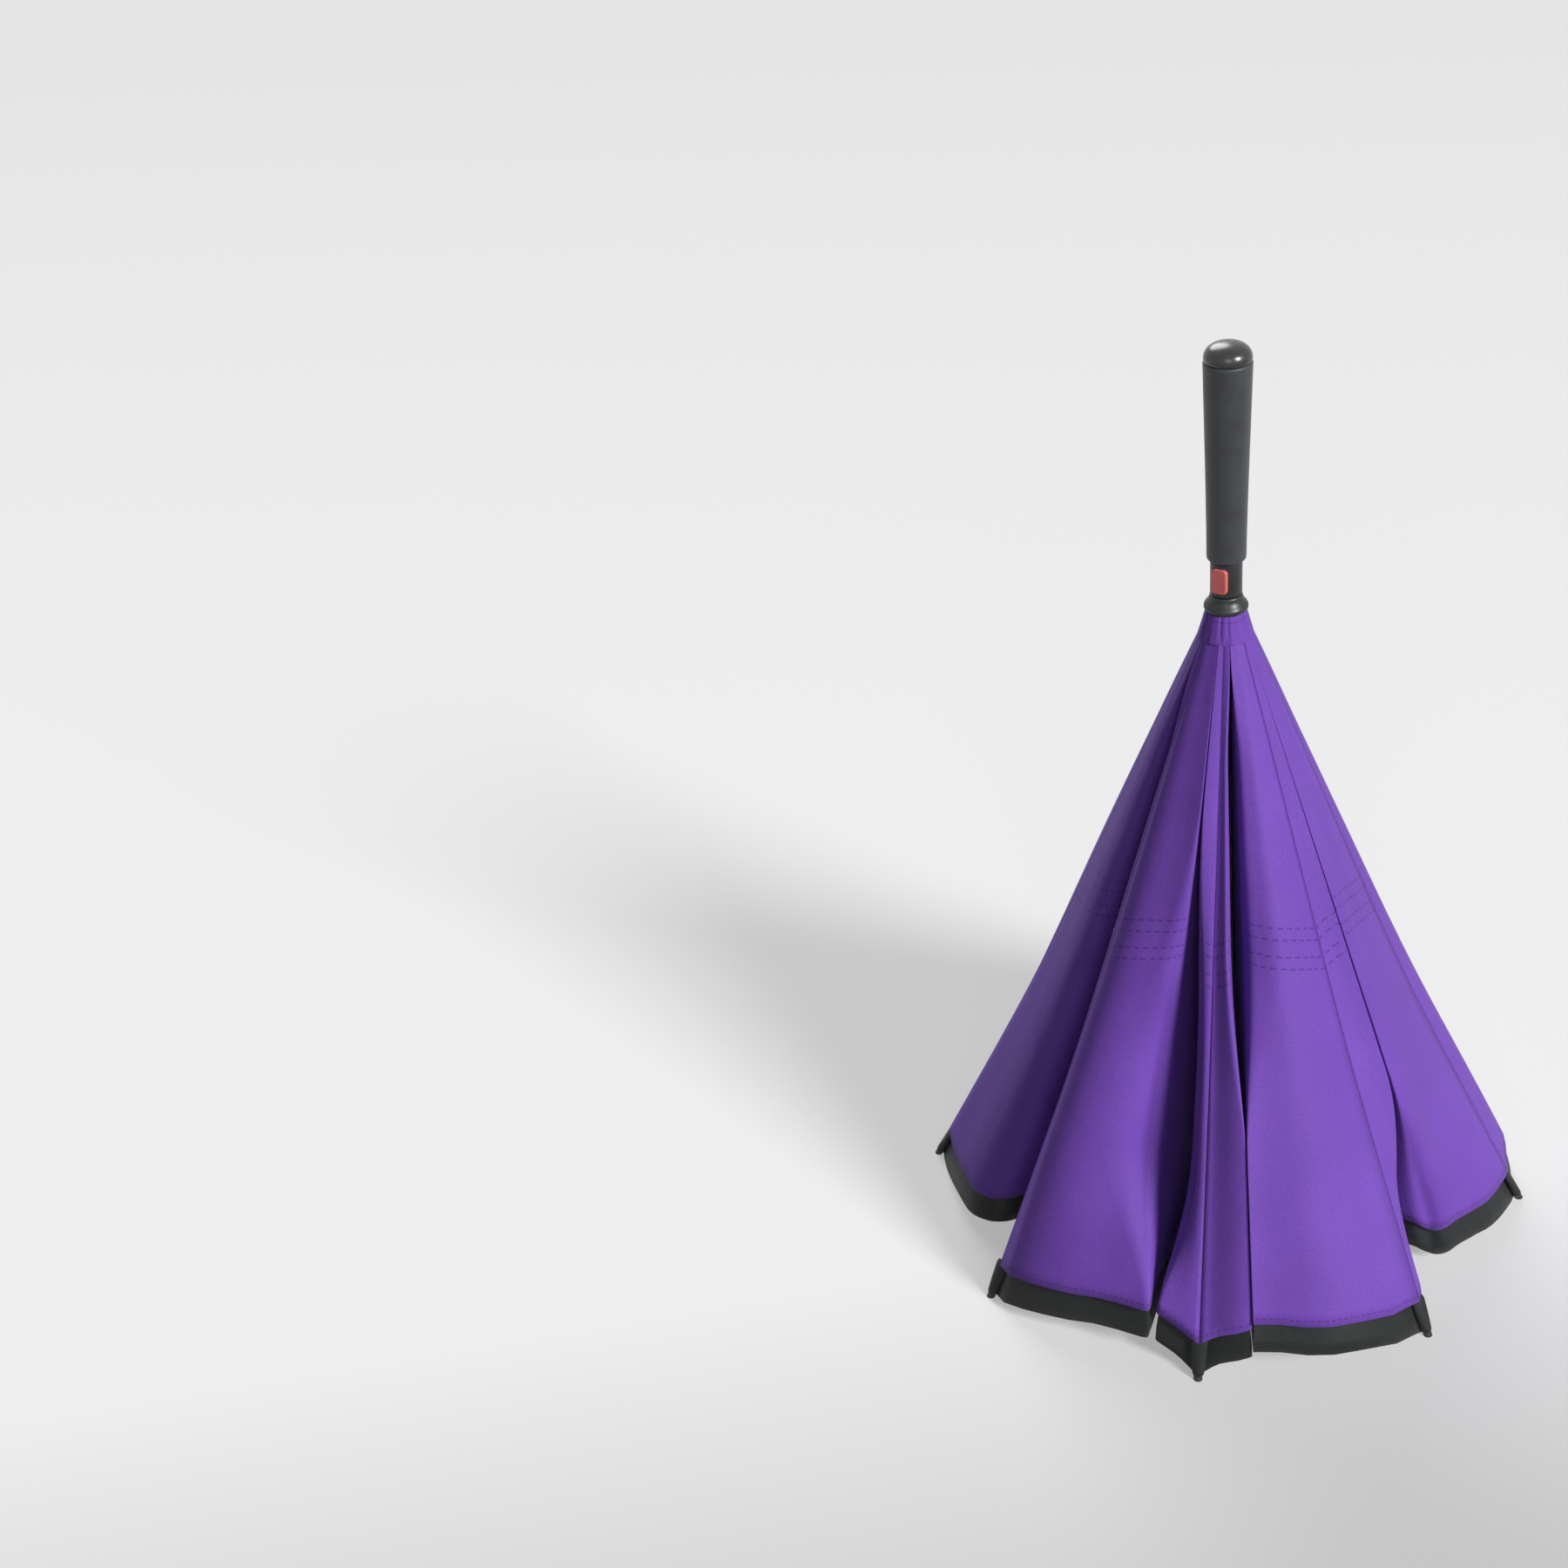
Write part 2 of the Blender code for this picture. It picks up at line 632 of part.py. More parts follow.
def make_grip(look, cap_look):
    bore = SHAFT_RADIUS + CLEARANCE
    top = GRIP_Z + GRIP_LENGTH
    grow = GRIP_UPPER_RADIUS - GRIP_LOWER_RADIUS
    profile = [(0, GRIP_Z + SHAFT_IN_GRIP), (bore, GRIP_Z + SHAFT_IN_GRIP), (bore, GRIP_Z)]
    profile += [(GRIP_LOWER_RADIUS - GRIP_CHAMFER, GRIP_Z)]
    profile += [(GRIP_LOWER_RADIUS, GRIP_Z + GRIP_CHAMFER)]
    for up, out in GRIP_FLARE_SHARES:
        profile.append((GRIP_LOWER_RADIUS + out * grow, GRIP_Z + up * GRIP_LENGTH))
    profile += [(GRIP_UPPER_RADIUS, top - END_CAP_SEAM)]
    profile += [(GRIP_UPPER_RADIUS - END_CAP_SEAM, top), (0, top)]
    turned("handle_grip", profile, look)
    cap = [(0, END_CAP_Z), (GRIP_UPPER_RADIUS - END_CAP_SEAM, END_CAP_Z)]
    cap += [(GRIP_UPPER_RADIUS, END_CAP_Z + END_CAP_SEAM)]
    for out, up in END_CAP_SHARES:
        cap.append((GRIP_UPPER_RADIUS * out, END_CAP_Z + END_CAP_HEIGHT * up))
    cap += [(0, END_CAP_Z + END_CAP_HEIGHT)]
    turned("handle_end_cap", cap, cap_look)


def make_shaft(look):
    bottom = CROWN_PIVOT_Z - HUB_BLIND_SIDE - HUB_BACK
    top = GRIP_Z + SHAFT_IN_GRIP - CLEARANCE
    inner = SHAFT_RADIUS - SHAFT_WALL
    profile = [(inner, bottom), (SHAFT_RADIUS, bottom), (SHAFT_RADIUS, top), (inner, top)]
    turned("shaft", profile, look, sides=SHAFT_SIDES, bored=True)


def make_crown_cap(look):
    """The cap under the crown, with a spigot up into the shaft."""
    top = CROWN_PIVOT_Z - HUB_BLIND_SIDE - HUB_BACK - CLEARANCE
    bottom = top - CROWN_CAP_HEIGHT
    spigot = SHAFT_RADIUS - SHAFT_WALL - CLEARANCE
    edge = GRIP_CHAMFER
    profile = [(0, bottom), (CROWN_CAP_TOP_RADIUS - edge, bottom)]
    profile += [(CROWN_CAP_TOP_RADIUS, bottom + edge), (CROWN_CAP_RADIUS, top - edge)]
    profile += [(CROWN_CAP_RADIUS, top), (spigot, top), (spigot, top + CROWN_SPIGOT)]
    profile += [(0, top + CROWN_SPIGOT)]
    turned("crown_cap", profile, look)


def make_collar(look):
    bore = SHAFT_RADIUS + CLEARANCE
    top = COLLAR_Z + COLLAR_HEIGHT
    profile = [(bore, COLLAR_Z), (COLLAR_LOWER_RADIUS, COLLAR_Z)]
    profile += [(COLLAR_LOWER_RADIUS, COLLAR_Z + COLLAR_LIP)]
    profile += [(COLLAR_UPPER_RADIUS, top - COLLAR_LIP), (COLLAR_UPPER_RADIUS, top), (bore, top)]
    turned("runner_collar", profile, look, bored=True)


def build():
    clear_scene()
    grip = material("grip_plastic", (0.032, 0.033, 0.037), 0.42)
    cap = material("end_cap_plastic", (0.018, 0.018, 0.020), 0.22)
    black = material("black_plastic", (0.012, 0.012, 0.013), 0.45)
    coral = material("button_plastic", (0.62, 0.095, 0.08), 0.4)
    metal = material("shaft_metal", (0.30, 0.30, 0.31), 0.3, 1.0)
    fibre = material("rib_fibre", (0.03, 0.03, 0.032), 0.4)
    steel = material("stretcher_metal", (0.25, 0.25, 0.26), 0.35, 1.0)
    tip_look = material("tip_plastic", (0.02, 0.02, 0.022), 0.4)
    purple = material("inner_canopy_cloth", (0.16, 0.07, 0.42), 0.75)
    dark = material("outer_canopy_cloth", (0.012, 0.014, 0.014), 0.8)
    make_grip(grip, cap)
    make_neck(black, coral)
    make_shaft(metal)
    hub("crown_hub", CROWN_PIVOT_Z, 1, black)
    make_crown_cap(black)
    hub("runner", RIB_PIVOT_Z, -1, black)
    make_collar(black)
    for index in range(RIB_COUNT):
        rib_object = rib(index, fibre, None)
        tip(index, tip_look, None)
        stretcher(index, steel, None)
        name = f"inner_canopy_panel_{index + 1}"
        cloth_sheet(name, panel_rows(index), apex(index), purple)
        for side, word in ((1, "after"), (-1, "before")):
            name = f"inner_canopy_fold_{word}_rib_{index + 1}"
            cloth_sheet(name, fold_rows(index, side), apex(index), purple)
    rows = [lining_row(step) for step in range(LINING_STEPS + 1)]
    cloth_sheet("outer_canopy", rows, RUNNER_TOP_Z * UP, dark, ring=True)


build()
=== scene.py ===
import math
from collections import namedtuple

import bmesh
import bpy
import numpy as np
from mathutils import Matrix, Vector, noise


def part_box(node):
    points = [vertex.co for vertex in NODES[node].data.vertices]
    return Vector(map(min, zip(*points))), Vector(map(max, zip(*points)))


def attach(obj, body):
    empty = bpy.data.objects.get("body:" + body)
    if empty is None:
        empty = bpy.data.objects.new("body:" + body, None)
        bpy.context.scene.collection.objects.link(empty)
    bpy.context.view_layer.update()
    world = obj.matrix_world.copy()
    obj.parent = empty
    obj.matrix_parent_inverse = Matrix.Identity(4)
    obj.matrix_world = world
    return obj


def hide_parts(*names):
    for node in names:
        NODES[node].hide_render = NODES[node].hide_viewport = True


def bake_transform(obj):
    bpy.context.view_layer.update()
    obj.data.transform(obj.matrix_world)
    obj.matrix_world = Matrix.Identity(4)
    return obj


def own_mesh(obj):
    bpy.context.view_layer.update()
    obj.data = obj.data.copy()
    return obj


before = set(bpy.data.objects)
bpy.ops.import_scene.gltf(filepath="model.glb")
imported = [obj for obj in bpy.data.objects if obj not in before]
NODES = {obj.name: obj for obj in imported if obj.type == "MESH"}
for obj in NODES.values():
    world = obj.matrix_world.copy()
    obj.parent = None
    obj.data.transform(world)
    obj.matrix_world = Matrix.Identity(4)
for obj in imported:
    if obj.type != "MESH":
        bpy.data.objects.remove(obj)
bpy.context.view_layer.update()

# Lengths are in metres and angles in radians, unless a name ends in _DEG or _MM

# Camera: fitted to the rib tips, the collar and the grip in the photograph

CAMERA_PLACE = (0.0, -1.766, 1.504)
CAMERA_YAW_DEG, CAMERA_PITCH_DEG, CAMERA_ROLL_DEG = -11.26, 31.62, -5.53
LENS_MM, SENSOR_MM = 60.0, 36.0


def make_camera():
    data = bpy.data.cameras.new("photo_camera")
    data.lens = LENS_MM
    data.sensor_width = SENSOR_MM
    data.clip_start, data.clip_end = 0.05, 50.0
    cam = bpy.data.objects.new("photo_camera", data)
    bpy.context.scene.collection.objects.link(cam)
    yaw = math.radians(CAMERA_YAW_DEG)
    pitch = math.radians(CAMERA_PITCH_DEG)
    roll = math.radians(CAMERA_ROLL_DEG)
    ahead = math.cos(pitch)
    forward = Vector((math.sin(yaw) * ahead, math.cos(yaw) * ahead, -math.sin(pitch)))
    level = Vector((math.cos(yaw), -math.sin(yaw), 0.0))
    above = level.cross(forward)
    right = math.cos(roll) * level + math.sin(roll) * above
    up = right.cross(forward)
    turn = Matrix((right, up, -forward)).transposed().to_4x4()
    cam.matrix_world = Matrix.Translation(CAMERA_PLACE) @ turn
    bpy.context.scene.camera = cam


# Materials

# Most of a noise's values lie between these two
NOISE_LOW, NOISE_HIGH = 0.3, 0.7

WEAVE_PITCH = 0.0011
YARN_SCALE = 420.0

# Rows of stitches across a gore, by their distance from the apex
STITCH_ROWS = (0.250, 0.259, 0.272, 0.281)
STITCH_HALF_WIDTH = 0.0008
STITCH_STEP = 0.0075
STITCH_SHARE = 0.62
STITCH_SHIFT = 0.37

# The seam by a rib, the row of stitches above a hem and the hem's double cloth
SEAM_HALF_WIDTH = 0.0009
HEM_ROW_HEIGHT = 0.0045
HEM_ROW_HALF_WIDTH = 0.0006
HEM_STITCH_STEP = 0.0042
HEM_STITCH_SHARE = 0.6
HEM_FOLD_HEIGHT = 0.0062


class Nodes:
    """A small builder of shader nodes."""

    def __init__(self, name):
        self.material = bpy.data.materials.new(name)
        self.material.use_nodes = True
        self.tree = self.material.node_tree
        self.shader = self.tree.nodes["Principled BSDF"]

    def add(self, kind, inputs=(), **settings):
        node = self.tree.nodes.new(kind)
        for key, value in settings.items():
            setattr(node, key, value)
        for key, value in dict(inputs).items():
            self.put(node.inputs[key], value)
        return node

    def put(self, socket, value):
        if isinstance(value, bpy.types.NodeSocket):
            self.tree.links.new(value, socket)
        else:
            socket.default_value = value

    def math(self, operation, a, b=0.0, c=0.0):
        return self.add("ShaderNodeMath", {0: a, 1: b, 2: c}, operation=operation).outputs[0]

    def mix(self, share, a, b):
        """A colour between two; inputs 6 and 7 and output 2 are the node's sockets for colours."""
        node = self.add("ShaderNodeMix", data_type="RGBA")
        self.put(node.inputs["Factor"], share)
        self.put(node.inputs[6], a)
        self.put(node.inputs[7], b)
        return node.outputs[2]

    def uv(self, name):
        return self.add("ShaderNodeUVMap", uv_map=name).outputs[0]

    def place(self):
        return self.add("ShaderNodeTexCoord").outputs["Object"]

    def noise(self, vector, scale, detail=3.0, roughness=0.55):
        inputs = {"Vector": vector, "Scale": scale, "Detail": detail, "Roughness": roughness}
        return self.add("ShaderNodeTexNoise", inputs).outputs["Fac"]

    def span(self, value, low, high, to_low=0.0, to_high=1.0):
        node = self.add("ShaderNodeMapRange", {"Value": value, "From Min": low, "From Max": high})
        node.inputs["To Min"].default_value = to_low
        node.inputs["To Max"].default_value = to_high
        return node.outputs[0]

    def vary(self, noise_value, low=0.0, high=1.0):
        """A value between two others that follows a noise."""
        return self.span(noise_value, NOISE_LOW, NOISE_HIGH, low, high)

    def bump(self, height, strength, distance, before=None):
        inputs = {"Height": height, "Strength": strength, "Distance": distance}
        node = self.add("ShaderNodeBump", inputs)
        if before is not None:
            self.put(node.inputs["Normal"], before)
        return node.outputs["Normal"]

    def finish(self, **sockets):
        for key, value in sockets.items():
            self.put(self.shader.inputs[key.replace("_", " ")], value)
        return self.material


def rgb(red, green, blue):
    """A colour from 0 to 255 sRGB values."""
    def linear(value):
        value /= 255
        return value / 12.92 if value <= 0.04045 else ((value + 0.055) / 1.055) ** 2.4
    return (linear(red), linear(green), linear(blue), 1.0)


def weave(n, uv):
    """Height of a plain weave over a flat pattern."""
    parts = n.add("ShaderNodeSeparateXYZ", {0: uv})
    per_metre = 2 * math.pi / WEAVE_PITCH
    over = n.math("SINE", n.math("MULTIPLY", parts.outputs[0], per_metre))
    under = n.math("SINE", n.math("MULTIPLY", parts.outputs[1], per_metre))
    return n.math("MULTIPLY", over, under)


def row_mask(n, value, middle, half_width):
    """1 within half a width of a line, else 0."""
    return n.math("LESS_THAN", n.math("ABSOLUTE", n.math("SUBTRACT", value, middle)), half_width)


def stitch_mask(n, uv):
    """Four rows of dashes straight across each gore, in two pairs."""
    parts = n.add("ShaderNodeSeparateXYZ", {0: uv})
    across, down = parts.outputs[0], parts.outputs[1]
    total = None
    for k, row in enumerate(STITCH_ROWS):
        line = row_mask(n, down, row, STITCH_HALF_WIDTH)
        steps = n.math("MULTIPLY", across, 1 / STITCH_STEP)
        beat = n.math("FRACT", n.math("ADD", steps, STITCH_SHIFT * k))
        dash = n.math("MULTIPLY", line, n.math("LESS_THAN", beat, STITCH_SHARE))
        total = dash if total is None else n.math("MAXIMUM", total, dash)
    return total


def rib_seam(n):
    """The seam along a rib; the cloth on the other side of the rib draws its other half."""
    parts = n.add("ShaderNodeSeparateXYZ", {0: n.uv("edge")})
    return n.math("LESS_THAN", parts.outputs[0], SEAM_HALF_WIDTH)


def hem_marks(n):
    """The row of stitches by the hem and the double cloth of the hem itself."""
    parts = n.add("ShaderNodeSeparateXYZ", {0: n.uv("edge")})
    along, height = parts.outputs[0], parts.outputs[1]
    line = row_mask(n, height, HEM_ROW_HEIGHT, HEM_ROW_HALF_WIDTH)
    beat = n.math("FRACT", n.math("MULTIPLY", along, 1 / HEM_STITCH_STEP))
    row = n.math("MULTIPLY", line, n.math("LESS_THAN", beat, HEM_STITCH_SHARE))
    return row, n.math("LESS_THAN", height, HEM_FOLD_HEIGHT)


def cloth_colour(n, wide, fine, dark, light, thread, thread_share):
    """Colour that changes in wide soft patches, with the yarn's fine unevenness in it."""
    colour = n.mix(n.vary(wide), dark, light)
    return n.mix(n.span(fine, 0.35, 0.75, 0.0, thread_share), colour, thread)


def woven_normal(n, uv, fine):
    """The weave and the yarn's unevenness as a bump."""
    height = n.math("ADD", n.math("MULTIPLY", weave(n, uv), 0.5), fine)
    return n.bump(height, strength=0.35, distance=0.00025)


def purple_cloth():
    n = Nodes("purple_pongee")
    uv = n.uv("pattern")
    wide = n.noise(uv, scale=7.0, detail=2.0)
    fine = n.noise(uv, YARN_SCALE, detail=2.0)
    dark, light, thread = rgb(107, 68, 164), rgb(120, 80, 183), rgb(93, 52, 152)
    colour = cloth_colour(n, wide, fine, dark, light, thread, 0.35)
    hem_row, hem_fold = hem_marks(n)
    stitches = n.math("MAXIMUM", stitch_mask(n, uv), hem_row)
    marks = n.math("MAXIMUM", stitches, n.math("MULTIPLY", rib_seam(n), 0.8))
    colour = n.mix(n.math("MULTIPLY", marks, 0.5), colour, rgb(66, 36, 118))
    normal = woven_normal(n, uv, fine)
    normal = n.bump(marks, strength=0.4, distance=-0.0005, before=normal)
    normal = n.bump(hem_fold, strength=0.5, distance=0.0006, before=normal)
    crumple = n.noise(uv, scale=26.0, detail=3.0)
    normal = n.bump(crumple, strength=0.25, distance=0.004, before=normal)
    return n.finish(
        Base_Color=colour, Roughness=n.vary(wide, 0.5, 0.62), Normal=normal,
        Sheen_Weight=0.18, Sheen_Roughness=0.45, Sheen_Tint=rgb(176, 150, 236), Specular_IOR_Level=0.14,
    )


def black_cloth():
    n = Nodes("black_pongee")
    uv = n.uv("pattern")
    wide = n.noise(uv, scale=9.0, detail=2.0)
    fine = n.noise(uv, YARN_SCALE, detail=2.0)
    dark, light, thread = rgb(19, 21, 22), rgb(29, 32, 33), rgb(14, 16, 16)
    colour = cloth_colour(n, wide, fine, dark, light, thread, 0.4)
    hem_row, hem_fold = hem_marks(n)
    normal = woven_normal(n, uv, fine)
    crumple = n.noise(uv, scale=30.0, detail=3.0)
    normal = n.bump(crumple, strength=0.3, distance=0.004, before=normal)
    hem = n.math("SUBTRACT", hem_fold, hem_row)
    normal = n.bump(hem, strength=0.5, distance=0.0006, before=normal)
    return n.finish(
        Base_Color=colour, Roughness=n.vary(wide, 0.55, 0.68), Normal=normal,
        Sheen_Weight=0.12, Sheen_Roughness=0.5, Specular_IOR_Level=0.25,
    )


def moulded(name, dark, light, rough, grain=900.0, depth=0.00012, coat=0.0):
    """Moulded plastic with a fine grain and an uneven polish."""
    n = Nodes(name)
    place = n.place()
    cloud = n.noise(place, scale=60.0, detail=4.0)
    fine = n.noise(place, grain, detail=2.0)
    return n.finish(
        Base_Color=n.mix(n.vary(cloud), dark, light),
        Roughness=n.vary(cloud, rough - 0.05, rough + 0.06),
        Normal=n.bump(fine, strength=0.4, distance=depth),
        Coat_Weight=coat, Coat_Roughness=0.2,
    )


def drawn_metal(name, dark, light, rough):
    """Drawn metal with fine lines along its length."""
    n = Nodes(name)
    place = n.place()
    stretched = n.add("ShaderNodeMapping", {"Vector": place, "Scale": (1.0, 1.0, 0.04)}).outputs[0]
    lines = n.noise(stretched, scale=900.0, detail=3.0)
    cloud = n.noise(place, scale=40.0, detail=3.0)
    return n.finish(
        Base_Color=n.mix(n.vary(cloud), dark, light),
        Roughness=n.vary(lines, rough - 0.06, rough + 0.08),
        Normal=n.bump(lines, strength=0.2, distance=0.0001),
        Metallic=1.0,
    )


# The canopy's geometry, with the same sizes as the part's source

RIB_COUNT = 8
SHAFT_BORE = 0.0063
RIB_LENGTH = 0.584
RIB_REST = math.radians(21.8)
RIB_OPEN = math.radians(95.0)
FRONT_RIB = math.radians(-4.0)
PITCH = 2 * math.pi / RIB_COUNT
TIP_END = RIB_LENGTH + 0.0145
HUB_PIVOT_RADIUS = 0.0115
APEX_BEHIND_PIVOT = 0.020

# Where each gore's slit is, as a share of the way from its rib to the next, how wide it is, and
# how much steeper the cloth's corner lines stand than the ribs
SLIT_SHARES = (0.80, 0.80, 0.21, 0.22, 0.50, 0.45, 0.58, 0.50)
SLIT_HALF = math.radians(3.4) / 2
SLIT_GAP = 0.0008
CORNER_OUT = math.radians(1.3)

# How far the hem reaches beside a rib, and how it sags between two ribs
HEM_REACH = RIB_LENGTH + APEX_BEHIND_PIVOT + 0.003
HEM_SAG_SHARE = 0.066
HEM_SAG_POWER = 2.0

# The ribs bend outward between these distances, to this slope
BEND_START, BEND_END = 0.48 * RIB_LENGTH, 0.74 * RIB_LENGTH
BEND_SLOPE = math.tan(math.radians(3.6))
UP = np.array([0.0, 0.0, 1.0])


def radial(azimuth):
    """Away from the shaft; azimuth runs from the front, -Y, towards +X."""
    return np.array([math.sin(azimuth), -math.cos(azimuth), 0.0])


def tangent(azimuth):
    return np.array([math.cos(azimuth), math.sin(azimuth), 0.0])


def unit(vector):
    return vector / np.linalg.norm(vector)


def rib_azimuth(index):
    return FRONT_RIB + (index - 2) * PITCH


def rib_axes(index, angle=RIB_REST):
    """Along a rib, sideways and out, where the rib stands at an angle from straight down."""
    out = radial(rib_azimuth(index))
    along = math.sin(angle) * out - math.cos(angle) * UP
    outward = math.cos(angle) * out + math.sin(angle) * UP
    return along, tangent(rib_azimuth(index)), outward


def bend_offset(distance):
    """How far a rib bends outward at a distance from its pivot."""
    if distance <= BEND_START:
        return 0.0
    if distance <= BEND_END:
        return BEND_SLOPE * (distance - BEND_START) ** 2 / (2 * (BEND_END - BEND_START))
    return BEND_SLOPE * (distance - (BEND_START + BEND_END) / 2)


RIB_PIVOT_Z = TIP_END * math.cos(RIB_REST) - bend_offset(TIP_END) * math.sin(RIB_REST)


def rib_pivot(index):
    return HUB_PIVOT_RADIUS * radial(rib_azimuth(index)) + RIB_PIVOT_Z * UP


def apex(index):
    """Where a rib's line starts behind its pivot; the cloth is laid out in rays from there."""
    return rib_pivot(index) - APEX_BEHIND_PIVOT * rib_axes(index)[0]


def corner_shares(gap):
    """The rib's three axes' shares in the line where the cloth turns in, a gap away from the rib."""
    steep = RIB_REST + CORNER_OUT
    out = math.sin(steep) * math.cos(gap)
    along = out * math.sin(RIB_REST) + math.cos(steep) * math.cos(RIB_REST)
    outward = out * math.cos(RIB_REST) - math.cos(steep) * math.sin(RIB_REST)
    return along, math.sin(steep) * math.sin(gap), outward


def corner_line(index, angle, shares, side):
    """The direction with these shares of a rib's axes, where the rib stands at an angle."""
    along, sideways, outward = rib_axes(index, angle)
    return shares[0] * along + side * shares[1] * sideways + shares[2] * outward


def spin(vector, angle):
    """Turns a vector about the shaft."""
    c, s = math.cos(angle), math.sin(angle)
    x, y, z = vector
    return np.array([c * x - s * y, s * x + c * y, z])


def slerp(a, b, share):
    """A direction between two others, at a share of the angle between them."""
    whole = math.acos(float(np.clip(a @ b, -1, 1)))
    return (math.sin((1 - share) * whole) * a + math.sin(share * whole) * b) / math.sin(whole)


def gore_lines(index):
    """Both corner lines of a gore in its ribs' shares, its folds' angle, its valley line and the
    directions across its slit and into it.

    A fold's angle is half of the gap between the corner lines of the open umbrella.
    """
    gap = SLIT_SHARES[index] * PITCH
    first, second = corner_shares(gap - SLIT_HALF), corner_shares(PITCH - gap - SLIT_HALF)
    open_first = corner_line(index, RIB_OPEN, first, 1)
    open_second = corner_line(index + 1, RIB_OPEN, second, -1)
    fold = math.acos(float(np.clip(unit(open_first + open_second) @ open_first, -1, 1)))
    rest_first = corner_line(index, RIB_REST, first, 1)
    rest_second = corner_line(index + 1, RIB_REST, second, -1)
    middle = unit(rest_first + rest_second)
    inward = unit(np.cross(middle, rest_first - rest_second))
    if inward @ radial(rib_azimuth(index) + PITCH / 2) > 0:
        inward = -inward
    share = math.cos(fold) / float(middle @ rest_first)
    valley = share * middle + math.sqrt(1 - share * share) * inward
    return first, second, fold, valley, unit(rest_first - rest_second), inward


# How the cloth beside each valley hangs: the share of the strip that is rounded off before the
# corner, the angle rounded off past it, how far the corner sinks in, how far the strip stands out
# and at which share of its width, and the height and number of its soft ripples. The keys are the
# gore and the side of its rib, as in HalfGore.

Slack = namedtuple("Slack", "lip lip_in sink bulge bulge_at ripple ripples")
SLACK = {
    (0, 1): Slack(0.32, 0.050, 0.012, 0.003, 0.5, 0.0015, 1.5),
    (0, -1): Slack(0.60, 0.050, 0.018, 0.0, 0.5, 0.0, 1.0),
    (1, 1): Slack(0.50, 0.085, 0.028, 0.012, 0.30, 0.0012, 1.5),
    (1, -1): Slack(0.70, 0.070, 0.028, 0.0, 0.5, 0.0, 1.0),
    (2, 1): Slack(0.55, 0.050, -0.014, 0.0, 0.5, 0.0, 1.0),
    (2, -1): Slack(0.40, 0.060, -0.008, 0.019, 0.46, 0.0024, 1.8),
    (3, 1): Slack(0.60, 0.060, 0.016, 0.0, 0.5, 0.0, 1.0),
    (3, -1): Slack(0.48, 0.050, 0.022, 0.0, 0.5, 0.0020, 1.8),
    (4, 1): Slack(0.30, 0.040, 0.008, 0.006, 0.5, 0.0015, 1.3),
    (4, -1): Slack(0.34, 0.045, 0.010, 0.004, 0.4, 0.0012, 1.6),
    (5, 1): Slack(0.36, 0.045, 0.012, 0.005, 0.5, 0.0015, 1.4),
    (5, -1): Slack(0.26, 0.040, 0.008, 0.007, 0.55, 0.0015, 1.2),
    (6, 1): Slack(0.30, 0.050, 0.010, 0.008, 0.5, 0.0012, 1.7),
    (6, -1): Slack(0.36, 0.045, 0.012, 0.003, 0.45, 0.0015, 1.5),
    (7, 1): Slack(0.34, 0.040, 0.008, 0.006, 0.5, 0.0014, 1.4),
    (7, -1): Slack(0.30, 0.045, 0.010, 0.005, 0.5, 0.0014, 1.6),
}

# How far each side of an open valley stands back from the slit's middle at the hem
SET_BACK = {
    (0, 1): 0.012, (0, -1): 0.014,
    (1, 1): 0.020, (1, -1): 0.012,
    (3, 1): 0.010, (3, -1): 0.014,
}
USUAL_SET_BACK = 0.003
SET_BACK_POWER = 1.6

# How far a valley is open, 0 to 1, at distances from the apex; a gore that isn't here is open
SLIT_OPEN = {
    1: ((0.14, 0.05), (0.38, 1.0), (0.44, 1.0), (0.575, 0.08)),
    2: ((0.26, 1.0), (0.44, 0.0)),
    3: ((0.40, 0.0), (0.56, 1.0)),
}
ALWAYS_OPEN = ((0.0, 1.0),)
VALLEY_START, VALLEY_LENGTH = 0.035, 0.10

# How far the lips of a closed slit stand out at the hem
LIFT = {1: 0.003, 2: 0.017}

HEM_DISTANCE = 0.58
SLACK_POWER = 1.4

# A slow swell of the cloth from a noise: its height, its scale across and down, its step between
# gores and its depth in the noise; a wider one shifts the ripples
SWELL_HEIGHT = 0.010
SWELL_ACROSS, SWELL_DOWN = 7.0, 2.4
SWELL_STEP, SWELL_DEPTH = 3.7, 1.3
RIPPLE_SHIFT, RIPPLE_SHIFT_SCALE = 6, 0.6

# The cloth stands out beside a rib over a share of the distance, more where the strip is wide
CROWN_SHARE, CROWN_WIDER = 0.030, 0.20

# The folds deepen from the collar down
LEAST_GROWTH = 0.35
GROWTH_START, GROWTH_LENGTH = 0.02, 0.07

# A strip as wide as this hangs lower beside its valley, a narrower one higher
WIDE_STRIP = 0.12
WIDE_HANGS, NARROW_HANGS = 0.014, -0.008

# How far the hem runs on down to a rib's tip, and over which share of the strip
PURPLE_REACH, BLACK_REACH = 0.006, 0.0088
REACH_WIDTH = 0.35

# Small waves of a hem from a noise, fully there a little way off the rib
HEM_WAVE, HEM_WAVE_SHIFT = 0.003, 0.0022
HEM_WAVE_SCALE, HEM_WAVE_ROW = 16, 7.3
HEM_WAVE_START = 0.03

# Least rounding of a corner, before it and past it, and the closed lips' half gap
LEAST_LIP, LEAST_LIP_IN = 0.0012, 0.002
LIP_HALF_GAP = 0.0004

# The share by which the black cloth's gap from the purple is smaller where a slit is closed
CLOSED_GAP_LOSS = 0.15

# Mesh columns on the strip, round the lip and on the fold
FEWEST_CELLS, CELL_ANGLE = 6, 0.016
LIP_EDGE = 0.0025
LIP_CELLS, FOLD_CELLS = 14, 6


def smooth(t):
    """A step from 0 to 1 with soft ends."""
    t = min(1.0, max(0.0, t))
    return t * t * (3 - 2 * t)


def even_steps(start, end, count):
    return [start + (end - start) * k / count for k in range(count + 1)]


